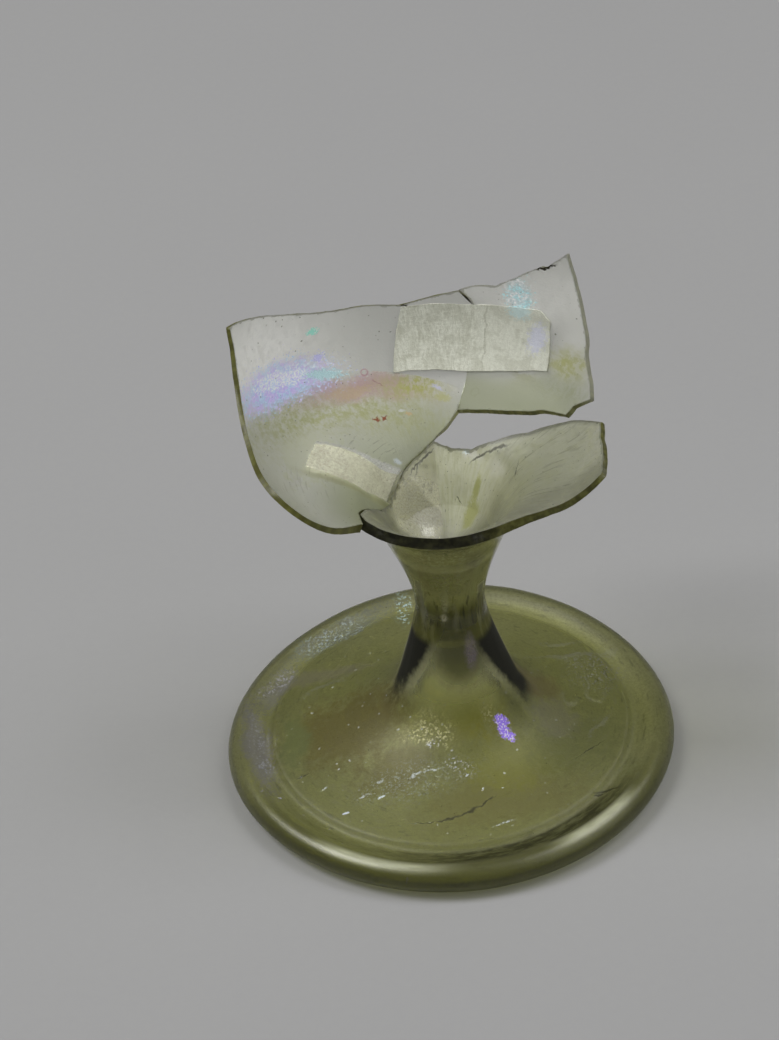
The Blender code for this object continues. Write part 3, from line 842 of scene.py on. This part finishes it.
def foot_material():
    m = Maker("weathered_foot_and_stem")
    flat, rim, inside, edge, under = surfaces(m)
    space = millimetres(m)
    outside = m.less(1.0, m.most(inside, edge, under), clamp=True)
    across, depth, height = m.axes(space)
    radius = m.math("SQRT", m.plus(m.times(across, across), m.times(depth, depth)))
    rings = m.node("CombineXYZ", {0: radius}).outputs[0]
    foot = m.times(outside, m.ramp(height, 13.0, 8.0))
    bowl = m.most(inside, m.ramp(height, 33.0, 37.0))
    body = m.mix(bowl, (0.93, 0.93, 0.50), (0.94, 0.943, 0.86))
    back_and_rim = m.most(m.times(m.ramp(radius, 19.5, 22.5), m.ramp(depth, -15.0, -5.0)),
                          m.times(m.ramp(depth, 6.0, 16.0), 0.7))
    plate = m.mix(back_and_rim, (0.455, 0.47, 0.175), (0.64, 0.645, 0.37))
    stem_roughness = m.blend(bowl, 0.16, m.ramp(height, 36.0, 32.0, 0.42, 0.80))
    film = Film(m, m.mix(foot, body, plate),
                m.blend(foot, thin_haze(m, space, 0.02, 0.10), thin_haze(m, space, 0.015, 0.09)),
                m.blend(foot, stem_roughness, m.ramp(radius, 21.0, 22.6, 0.52, 0.32)))
    crisp = m.warped(space, 1.4, 0.6)
    loose = m.warped(crisp, 0.25, 2.6)
    grain = m.grain(space, 2.8, 3.0, 0.75)
    coarse = m.grain(space, 0.9, 3.0, 0.7)
    # streaks that run round the foot
    turned = m.vector("DIVIDE", space, m.node("CombineXYZ", {0: radius, 1: radius, 2: 1000.0}).outputs[0])
    upward = m.vector("MULTIPLY", m.node("CombineXYZ", {2: radius}).outputs[0], (0.0, 0.0, 1.9))
    spun = m.vector("ADD", m.vector("MULTIPLY", turned, (9.0, 9.0, 0.0)), upward)
    streaks = m.grain(spun, 1.0, 3.0, 0.7)

    # fine mottling, dull brown and green tints, then lilac-grey films
    film.within = [foot]
    film.lay(((0.34, 0.34, 0.13), 0.2), m.ramp(grain, 0.36, 0.66), 0.55)
    film.lay(((0.05, 0.05, 0.014), 0.18), m.ramp(streaks, 0.56, 0.7), 0.45)
    film.lay(((0.42, 0.42, 0.22), 0.16), m.ramp(streaks, 0.46, 0.34), 0.7)
    lilac_grey = (0.42, 0.42, 0.43)
    for x, y, wide, tall, turn, texture, spread, colour, cover, amount in (
            (-11.5, -2.0, 8.0, 5.5, 0, coarse, 1.6, (0.18, 0.13, 0.015), 0.28, 0.8),
            (-6.6, -9.6, 4.4, 3.0, 20, coarse, 1.6, (0.17, 0.13, 0.03), 0.24, 0.7),
            (5.0, -14.0, 9.0, 3.2, 8, coarse, 1.6, (0.26, 0.22, 0.05), 0.20, 0.6),
            (6.5, -9.6, 5.0, 3.2, 20, coarse, 1.6, (0.38, 0.38, 0.04), 0.24, 0.7),
            (2.0, -5.4, 4.0, 2.2, 0, coarse, 1.6, (0.38, 0.36, 0.04), 0.28, 0.8),
            (-14.5, 8.8, 5.5, 1.4, 0, coarse, 1.8, (0.32, 0.29, 0.24), 0.24, 0.7),
            (-17.8, -2.0, 1.6, 4.4, 0, coarse, 1.6, (0.24, 0.30, 0.11), 0.22, 0.7),
            (9.6, 1.5, 3.4, 2.6, 0, coarse, 1.6, (0.24, 0.16, 0.07), 0.24, 0.6),
            (13.5, -6.5, 6.0, 3.4, 30, coarse, 1.8, (0.20, 0.22, 0.06), 0.22, 0.6),
            (11.6, -3.2, 2.2, 2.6, 0, coarse, 1.8, (0.34, 0.32, 0.24), 0.24, 0.7),
            (-21.8, -1.5, 1.5, 7.0, 8, grain, 2.6, (0.33, 0.31, 0.40), 0.32, 0.85),
            (-19.4, 8.4, 3.6, 1.5, 62, grain, 3.0, (0.30, 0.29, 0.34), 0.30, 0.8),
            (-11.5, 17.4, 6.5, 1.4, 35, grain, 3.2, (0.28, 0.30, 0.29), 0.28, 0.8),
            (15.2, 8.6, 4.2, 0.36, 14, grain, 4.4, lilac_grey, 0.26, 0.5),
            (13.6, 11.2, 2.2, 0.36, 16, grain, 4.4, lilac_grey, 0.26, 0.5),
            (-13.8, 6.4, 2.4, 0.3, 20, grain, 4.4, lilac_grey, 0.26, 0.5),
            (16.6, -3.4, 2.4, 0.26, 60, grain, 4.4, lilac_grey, 0.26, 0.5)):
        film.flakes((colour, cover), loose, (x, y, 0.0), (wide, tall, 60.0), turn, texture, spread, 0.45,
                    amount)
    # crescents, crumbs, specks and scratches
    for x, y, wide, tall in ((13.6, 0.4, 1.0, 1.3), (16.6, 1.4, 1.2, 1.4)):
        hole = m.spot(crisp, (x + 0.1, y + 0.35, 0.0), (0.75 * wide, 0.8 * tall, 60.0), 0, 0.3)
        crescent = m.less(m.spot(crisp, (x, y, 0.0), (wide, tall, 60.0), 0, 0.2), hole, clamp=True)
        film.lay(((0.46, 0.46, 0.38), 0.4), crescent, m.ramp(grain, 0.36, 0.6, 0.1, 0.6))
    # a painted highlight: a pale glow on the front of the flare, where the stem spreads into the foot
    film.smear(((0.54, 0.53, 0.26), 0.24), loose, (-2.4, -6.4, 0.0), (3.4, 1.7, 60.0), -25, 0.8, 0.8)
    crumbs = m.ramp(m.grain(space, 3.4, 3.0, 0.75), 0.54, 0.60)
    # crumbs and specks; the two cream ones on the front of the flare are painted glints
    for x, y, wide, tall, turn, colour, cover in (
            (-12.6, 16.9, 4.6, 1.5, 32, (0.52, 0.62, 0.66), 0.6),
            (-4.3, 20.2, 0.9, 3.2, 0, (0.58, 0.80, 0.84), 0.75),
            (-20.9, -4.4, 0.9, 1.3, 20, (0.62, 0.70, 0.96), 0.75),
            (-19.6, 9.4, 1.2, 3.2, -40, (0.62, 0.60, 0.78), 0.5),
            (-2.6, -6.6, 3.0, 1.2, -25, (0.86, 0.82, 0.48), 0.8),
            (4.0, -5.2, 0.9, 1.6, 0, (0.84, 0.80, 0.50), 0.6),
            (-2.2, -7.8, 0.8, 0.5, 0, (0.84, 0.88, 1.0), 0.9),
            (0.2, -10.6, 1.9, 1.2, 0, (0.56, 0.56, 0.66), 0.6),
            (-6.0, -11.6, 5.0, 2.4, 0, (0.50, 0.54, 0.50), 0.3),
            (17.0, 6.0, 3.0, 3.6, 0, (0.46, 0.46, 0.50), 0.32),
            (-21.6, -1.0, 1.0, 5.0, 8, (0.54, 0.54, 0.66), 0.45)):
        film.smear((colour, cover), loose, (x, y, 0.0), (wide, tall, 60.0), turn, 0.5, crumbs)
    cells = m.node("TexVoronoi", {"Vector": crisp, "Scale": 0.9}).outputs["Distance"]
    tiny = m.times(m.ramp(cells, 0.16, 0.08), m.ramp(m.grain(space, 0.6, 1.0), 0.45, 0.55))
    film.smear(((0.64, 0.66, 0.64), 0.7), loose, (-4.0, -4.0, 0.0), (17.0, 16.0, 60.0), 0, 0.5, tiny)
    white = (0.60, 0.66, 0.68)
    for start, end, width in (((-5.3, -10.9), (-3.6, -10.2), 0.13), ((-3.8, -10.4), (-1.2, -10.4), 0.11),
                              ((-11.0, -12.2), (-9.6, -11.7), 0.10), ((-9.0, -10.5), (-7.9, -10.5), 0.13),
                              ((-15.0, -10.0), (-14.2, -9.6), 0.11), ((3.4, -18.0), (5.8, -17.2), 0.13)):
        film.mark((white, 0.7), crisp, start, end, width, m.ramp(grain, 0.42, 0.52))
    for x, y, size, colour in (
            (-8.5, -12.6, 0.45, (0.76, 0.86, 0.92)), (-12.4, -13.7, 0.36, (0.66, 0.72, 0.86)),
            (-19.5, -9.7, 0.36, (0.62, 0.62, 0.82)), (-21.4, -8.8, 0.3, (0.52, 0.50, 0.64)),
            (-5.4, -22.8, 0.36, (0.68, 0.62, 0.86)), (-6.4, -23.9, 0.26, (0.58, 0.52, 0.80)),
            (2.7, -13.0, 0.2, white), (5.0, -13.0, 0.2, white), (1.2, -11.5, 0.24, white)):
        film.flakes((colour, 0.8), crisp, (x, y, 0.0), (0.8 * size, 0.4 * size, 60.0), 20, grain, 3.4, 0.3)
    for start, end, width in (((-5.4, -16.6), (-2.3, -16.8), 0.07), ((-2.6, -16.8), (-0.1, -16.35), 0.13),
                              ((-0.4, -16.4), (2.2, -15.4), 0.18), ((2.0, -15.5), (3.9, -14.2), 0.10),
                              ((15.0, -13.6), (17.9, -12.6), 0.15), ((14.7, -13.9), (16.0, -13.6), 0.11),
                              ((-17.6, -7.4), (-16.2, -7.0), 0.09), ((-4.7, -22.8), (-4.0, -22.7), 0.14),
                              ((13.2, -9.0), (16.6, -6.2), 0.06)):
        film.mark((INK, 0.85), crisp, start, end, width, 0.9)
    film.lay((INK, 0.8), m.ramp(m.grain(space, 2.4, 2.0, 0.6), 0.72, 0.78), 0.7)

    # a violet glint at the front right, where the stem spreads into the foot
    film.within = [outside]
    violet = m.most(*[m.flaky(crisp, centre, size, 0, grain, 2.2, 0.2) for centre, size in (
        ((5.5, -6.0, 8.1), (0.9, 0.55, 1.0)), ((5.7, -6.6, 7.5), (0.8, 0.60, 0.9)),
        ((6.2, -7.1, 6.9), (0.8, 0.50, 0.8)))])
    glint = m.ramp(m.grain(space, 4.5, 1.0), 0.54, 0.64)
    film.lay((m.mix(glint, (0.36, 0.22, 1.0), (0.78, 0.7, 1.0)), 1.0, 0.25), violet)

    # painted shade in the groove behind the rolled rim, most of it at the front; then painted shade on the
    # rim's front, a pale line along the lip, and a painted highlight along the crest
    film.within = [foot]
    front = m.ramp(depth, -2.0, -17.0, 0.18, 1.0)
    film.smear(((0.028, 0.028, 0.008), 0.74, 0.5), rings, (21.85, 0.0), (1.5, 9.0), 0, 0.38,
               m.ramp(streaks, 0.3, 0.6, 0.78, 1.0), front, m.ramp(across, -14.0, 1.0, 0.5, 1.0))
    # painted shade on the front of the rim
    film.lay(((0.12, 0.12, 0.06), 0.22), m.ramp(radius, 22.4, 23.4), front, 0.8)
    film.smear(((0.36, 0.36, 0.2), 0.28), rings, (19.95, 0.0), (0.13, 9.0), 0, 0.7,
               m.ramp(coarse, 0.38, 0.58, 0.0, 0.7))
    # a painted highlight along the rim's crest, at the front left and front right
    crest_highlight = m.most(m.spot(space, (-10.0, -21.3, 3.0), (8.0, 4.2, 9.0), 0, 0.5),
                  m.spot(space, (15.0, -18.2, 3.0), (5.5, 4.6, 9.0), 0, 0.5))
    film.smear(((0.8, 0.82, 0.64), 0.42), rings, (23.6, 0.0), (0.5, 9.0), 0, 0.8, crest_highlight,
               m.ramp(streaks, 0.3, 0.6, 0.75, 1.0))

    # painted shade along the bottom of the rolled rim, where it meets the table; on the stem, near-black
    # painted shade on both sides of the hollow and pale painted reflections down its front
    film.within = [outside]
    film.lay(((0.03, 0.03, 0.01), 0.6, 0.4), m.ramp(height, 1.7, 0.7), m.ramp(radius, 23.0, 24.0), 0.8)
    # near-black painted shade at the top of the hollow and in bands down both its sides
    wander = m.times(m.less(coarse, 0.5), 0.6)
    ahead = m.ramp(depth, 2.8, 0.4)
    film.smear(((0.06, 0.06, 0.012), 0.62), crisp, (1.5, -3.6, 16.4), (3.2, 2.8, 4.6), 0, 0.5, 0.9)
    for top_x, top_z, slope, low_z, width, strength in (
            (-1.8, 19.9, -0.40, 6.4, 2.1, 1.0), (4.1, 18.8, 0.39, 5.4, 1.8, 1.0),
            (-2.4, 26.0, 0.05, 19.0, 0.45, 0.6), (4.4, 24.5, -0.06, 18.0, 0.45, 0.7)):
        drop = m.less(top_z, height)
        middle = m.plus(m.times(drop, m.plus(m.times(drop, 0.025 * slope), slope)), top_x)
        off = m.plus(m.math("ABSOLUTE", m.less(across, middle)), wander)
        film.lay(((0.008, 0.008, 0.003), 0.98, 0.7), m.ramp(off, 1.1 * width, 0.45 * width),
                 m.ramp(height, low_z, low_z + 3.2), m.ramp(height, top_z + 1.0, top_z), ahead, strength)
    film.smear(((0.03, 0.028, 0.012), 0.7), crisp, (1.5, -3.4, 19.0), (2.6, 1.6, 0.5), 0, 0.6, 0.7)
    film.lay(((0.2, 0.2, 0.03), 0.3), m.ramp(height, 17.0, 19.0), m.ramp(height, 24.5, 21.5), ahead)
    tall = m.stretched(space, (1.3, 1.3, 0.16))
    stem = m.ramp(height, 17.0, 20.0)
    film.lay(((0.5, 0.5, 0.19), 0.36), stem, m.ramp(m.grain(tall, 1.0, 3.0, 0.6), 0.5, 0.66), 0.7)
    film.lay(((0.05, 0.05, 0.018), 0.6), stem, m.ramp(m.grain(tall, 1.7, 3.0, 0.6), 0.56, 0.66), 0.8)
    # painted reflections as pale streaks down the stem's front, and a few tinted patches
    for centre, size, colour, cover in (
            ((0.4, -3.5, 24.2), (0.40, 1.5, 2.8), (0.66, 0.66, 0.40), 0.46),
            ((-1.9, -2.0, 22.2), (0.35, 1.4, 2.4), (0.42, 0.42, 0.26), 0.36),
            ((1.4, -3.7, 21.4), (0.26, 1.2, 1.8), (0.44, 0.44, 0.24), 0.36),
            ((2.8, -3.9, 16.8), (0.6, 1.2, 1.9), (0.40, 0.33, 0.42), 0.32),
            ((0.4, -4.6, 28.0), (3.8, 3.0, 4.2), (0.52, 0.52, 0.22), 0.40),
            ((0.1, -3.1, 21.2), (0.3, 1.0, 0.5), (0.80, 0.76, 0.56), 0.7),
            ((4.2, -5.4, 31.0), (1.3, 1.4, 2.2), (0.16, 0.14, 0.20), 0.5)):
        film.smear((colour, cover), crisp, centre, size, 0, 0.6, m.ramp(grain, 0.34, 0.56, 0.4, 1.0))
    film.lay(((0.16, 0.16, 0.06), 0.14), m.ramp(height, 28.5, 31.0), m.ramp(depth, -1.0, -4.0),
             m.ramp(grain, 0.3, 0.6, 0.6, 1.0))

    # the lobe's inner face, clear where the lower tape shows through
    m.dimensions = "2D"
    film.within = [inside]
    through = m.spot(flat, at(125, -2.6), (10.5, 3.6), 0, 0.25)
    film.roughness = m.blend(through, film.roughness, 0.14)
    nick = m.warped(flat, 1.6, 0.4)
    wing = m.warped(nick, 0.35, 1.0)
    flakes = m.grain(flat, 3.2, 3.0, 0.7)
    mottle = m.grain(m.stretched(flat, (1.5, 0.5, 1.0), 14.0), 1.0, 3.0, 0.65)
    # pale haze over the lobe, with painted sheen
    film.smear(((0.88, 0.9, 0.72), 0.54), wing, at(428, -0.5), (9.0, 5.0), 0, 0.6,
               m.ramp(mottle, 0.3, 0.6, 0.6, 1.0))
    film.lay(((0.62, 0.63, 0.44), 0.24), m.ramp(mottle, 0.4, 0.64), 0.45)
    film.smear(((0.44, 0.46, 0.33), 0.2), wing, at(372, 7.2), (9.5, 5.5), 0, 0.5, 0.7)
    # the lobe's azimuths run on past 360, so a patch at its seam is laid from both ends
    for azimuth, along, wide, tall in ((48, -0.7, 1.1, 1.3), (46, -3.2, 2.4, 1.4),
                                       (408, -0.7, 1.1, 1.3), (406, -3.2, 2.4, 1.4)):
        film.flakes(((0.5, 0.52, 0.15), 0.44), wing, at(azimuth, along), (wide, tall), 0, flakes, 1.4, 0.4,
                    0.8)
    # pearly haze with painted sheen
    film.smear((PEARLY_HAZE_AND_SHEEN, 0.38), wing, at(394, 2.2), (2.2, 0.9), 0, 0.6, 0.6)
    film.smear((PEARLY_HAZE_AND_SHEEN, 0.45), wing, at(421, 2.5), (2.0, 0.5), 0, 0.6, 0.7)
    film.flakes(((0.84, 0.94, 0.94), 0.9), flat, at(426.3, 2.6), (0.6, 0.3), 0, flakes, 2.6, 0.3)
    lines = m.ramp(m.grain(m.stretched(flat, (1.2, 0.16, 1.0), 25.0), 1.3, 3.0, 0.6), 0.56, 0.68)
    film.smear(((0.1, 0.1, 0.05), 0.4), flat, at(360, 7.0), (9.0, 5.0), 0, 0.4, lines, 0.5)
    film.lay((INK, 0.6), m.ramp(m.grain(flat, 3.2, 0.0), 0.84, 0.88), 0.7)
    scratch = ((0.04, 0.04, 0.02), 0.75)
    for look, start, end, width in (
            (scratch, (421, 1.6), (408, 3.3), 0.15), (scratch, (409, 3.1), (396, 4.6), 0.20),
            (scratch, (431, -2.0), (424, -2.7), 0.07), (scratch, (380, 4.1), (371, 3.0), 0.06),
            ((INK, 0.85), (92, 2.9), (107, 1.5), 0.14), ((INK, 0.85), (107, 1.7), (116, 0.0), 0.11),
            ((INK, 0.85), (104, 1.9), (121, 0.7), 0.10)):
        film.mark(look, nick, at(*start), at(*end), width, 0.9)
    film.lay(((0.86, 0.84, 0.72), 0.52), through, m.ramp(m.grain(flat, 4.5, 3.0, 0.8), 0.38, 0.6, 0.35, 1.0))

    # broken faces in painted shade: nearly black along the front, olive towards both ends
    m.dimensions = "3D"
    film.within = []
    lay_edge_shade(m, film, space, rim, 0.30, 0.7)
    around = m.axes(flat)[0]
    to_front = m.times(m.ramp(around, at(196, 0)[0], at(206, 0)[0]),
                       m.ramp(around, at(312, 0)[0], at(286, 0)[0]))
    hackle = m.ramp(m.grain(space, 1.4, 3.0, 0.65), 0.35, 0.7)
    front_face = m.mix(hackle, (0.006, 0.006, 0.002), (0.028, 0.028, 0.010))
    end_face = m.mix(hackle, (0.06, 0.06, 0.012), (0.15, 0.15, 0.04))
    film.lay((m.mix(to_front, end_face, front_face), 0.88, 0.35), edge)
    return finish_glass(m, film, surface_normal(m, space, 0.8, 0.6), (0.52, 0.53, 0.22), 400.0,
                        (0.66, 0.665, 0.63), 0.35)


def paper_material(name, pale, dark, fibre_turn, upper, fibrous):
    """Worn paper.  The upper piece has a smooth right side, two tinted flakes and a crease as well."""
    m = Maker(name, "2D")
    flat = surfaces(m)[0]
    wavy = m.warped(flat, 0.8, 0.5)
    fibre = m.grain(m.stretched(wavy, (4.0, 0.45, 1.0), fibre_turn), 1.0, 4.0, 0.75)
    weave = m.grain(m.stretched(wavy, (0.6, 4.0, 1.0), fibre_turn), 1.0, 3.0, 0.7)
    crumbs = m.grain(flat, 3.0, 4.0, 0.8)
    cloud = m.grain(flat, 0.5, 3.0, 0.6)
    shade = m.plus(m.times(m.ramp(fibre, 0.38, 0.62), fibrous),
                   m.times(m.ramp(crumbs, 0.38, 0.62), 0.85 - fibrous))
    shade = m.plus(shade, m.times(m.ramp(weave, 0.40, 0.60), 0.15))
    if upper:
        right = m.ramp(m.axes(flat)[0], at(76, 0)[0], at(69, 0)[0])
        contrast = m.times(m.less(shade, 0.5), m.blend(right, 0.85, 0.45))
        shade = m.plus(m.blend(right, 0.60, 0.76), contrast, clamp=True)
    base = m.mix(shade, dark, pale)
    base = m.mix(m.ramp(cloud, 0.48, 0.62, 0.0, 0.4), base, dark)
    if upper:
        for centre, size, tint in ((at(51, 16.9), (0.8, 1.6), (0.60, 0.62, 0.88)),
                                   (at(59, 19.3), (0.9, 0.8), (0.56, 0.82, 0.88))):
            base = m.mix(m.times(m.flaky(flat, centre, size, 0, crumbs, 2.4, 0.4), 0.5), base, tint)
        crease = m.stroke(wavy, at(70, 19.4), at(69, 11.9), 0.09)
        base = m.mix(m.times(crease, m.ramp(crumbs, 0.36, 0.6, 0.1, 0.5)), base, (0.26, 0.26, 0.18))
    height = m.plus(m.times(fibre, fibrous), m.times(crumbs, 1.2 - fibrous))
    return finish_matt(m, base, m.blend(crumbs, 0.75, 0.95), height, 0.6)


# ------------------------------------------------------------------ the pieces
WALL_PITCH = 0.42
PAPER_PITCH = 0.4
PAPER_THICKNESS = 0.14
LOWER_TAPE_RADIUS = 9.0


def wall_faces(azimuth, along, t):
    outer, inner = ripple(azimuth, along, 0), thickness(along) + ripple(azimuth, along, 1)
    return outer + (inner - outer) * t


def crumple(azimuth, along, size):
    spot = Vector((radians(azimuth) * FLAT, along, 0.0))
    return size * (0.6 * noise.noise(spot * 0.9) + 0.4 * noise.noise(spot * 2.3))


def upper_tape_faces(azimuth, along, t):
    """The upper tape lies inside the bowl."""
    lift = 0.07 + abs(crumple(azimuth, along, 0.06))
    return thickness(along) + ripple(azimuth, along, 1) + lift + PAPER_THICKNESS * t


def lower_tape_faces(azimuth, along, t):
    """The lower tape lies outside the bowl."""
    lift = 0.08 + abs(crumple(azimuth, along, 0.16))
    return ripple(azimuth, along, 0) - lift - PAPER_THICKNESS * (1 - t)


build_base(foot_material())
build_sheet("glass_left_wall", left_wall_material(), "left_wall_shard",
            LEFT_SHARD, FLAT, WALL_PITCH, wall_faces, 0.07, 1.0)
build_sheet("glass_right_wall", right_wall_material(), "right_wall_shard",
            RIGHT_SHARD, FLAT, WALL_PITCH, wall_faces, 0.07, 2.0)
build_sheet("paper_upper_tape",
            paper_material("upper_paper", (0.74, 0.755, 0.66), (0.45, 0.455, 0.365), 0.0, True, 0.5),
            "upper_tape_patch", UPPER_TAPE, FLAT, PAPER_PITCH, upper_tape_faces, 0.08, 3.0, 1)
build_sheet("paper_lower_tape",
            paper_material("lower_paper", (0.81, 0.79, 0.73), (0.40, 0.375, 0.31), 35.0, False, 0.2),
            "lower_tape_patch", LOWER_TAPE, LOWER_TAPE_RADIUS, PAPER_PITCH, lower_tape_faces, 0.10, 4.0, 1)


# ------------------------------------------------------------------ floor, light and camera
def floor_material():
    m = Maker("pale_table")
    space = millimetres(m)
    weave = m.grain(space, 0.9, 4.0, 0.6)
    cloud = m.grain(space, 0.02, 2.0, 0.5)
    tone = m.plus(m.times(m.less(weave, 0.5), 0.10), m.times(m.less(cloud, 0.5), 0.12))
    base = m.mix(m.plus(0.5, tone), (0.30, 0.30, 0.302), (0.43, 0.43, 0.432))
    return finish_matt(m, base, 0.9, weave, 0.15)


floor_mesh = bpy.data.meshes.new("table")
floor_shape = bmesh.new()
bmesh.ops.create_grid(floor_shape, x_segments=1, y_segments=1, size=3.0)
floor_shape.to_mesh(floor_mesh)
floor_shape.free()
floor_mesh.materials.append(floor_material())
table = bpy.data.objects.new("table", floor_mesh)
table.location = (0.0, 0.0, -0.00005)
bpy.context.scene.collection.objects.link(table)


def add_lamp(name, place, aim, size, watts, colour):
    data = bpy.data.lights.new(name, "AREA")
    data.shape = "RECTANGLE"
    data.size, data.size_y = size
    data.energy = watts
    data.color = colour
    lamp = bpy.data.objects.new(name, data)
    lamp.location = place
    lamp.rotation_euler = (Vector(aim) - Vector(place)).to_track_quat("-Z", "Y").to_euler()
    bpy.context.scene.collection.objects.link(lamp)


WARM_WHITE = (1.0, 0.995, 0.985)
for name, place, aim_height, width, watts, colour in (
        ("left", (-0.45, 0.06, 0.75), 0.02, 0.36, 4.6, WARM_WHITE),
        ("right", (0.44, 0.08, 0.75), 0.02, 0.36, 2.35, WARM_WHITE),
        ("front", (0.80, -0.33, 0.68), 0.03, 0.9, 2.4, (1.0, 1.0, 1.0))):
    add_lamp(name, place, (0.0, 0.0, aim_height), (width, width), watts, colour)

world = bpy.data.worlds.new("room")
world.use_nodes = True
room = world.node_tree.nodes["Background"].inputs
room["Color"].default_value = (0.10, 0.10, 0.101, 1.0)
room["Strength"].default_value = 1.0
bpy.context.scene.world = world

# lens and sensor in mm, place in metres, tilt (downwards) and roll in radians
LENS = 147.88
SENSOR_WIDTH = 36.0
CAMERA_PLACE = (-0.004768, -0.269663, 0.244266)
TILT = 0.664845
ROLL = -0.0904115
camera_data = bpy.data.cameras.new("camera")
camera_data.sensor_width = SENSOR_WIDTH
camera_data.sensor_fit = "HORIZONTAL"
camera_data.lens = LENS
camera_data.clip_start = 0.01
camera_data.clip_end = 20.0
camera = bpy.data.objects.new("camera", camera_data)
forward = Vector((0.0, cos(TILT), -sin(TILT)))
level = Vector((1.0, 0.0, 0.0))
upward = level.cross(forward)
side = level * cos(ROLL) + upward * sin(ROLL)
top = upward * cos(ROLL) - level * sin(ROLL)
turned = Matrix((side, top, -forward)).transposed().to_4x4()
camera.matrix_world = Matrix.Translation(CAMERA_PLACE) @ turned
bpy.context.scene.collection.objects.link(camera)
bpy.context.scene.camera = camera

bpy.context.scene.view_settings.view_transform = "Standard"
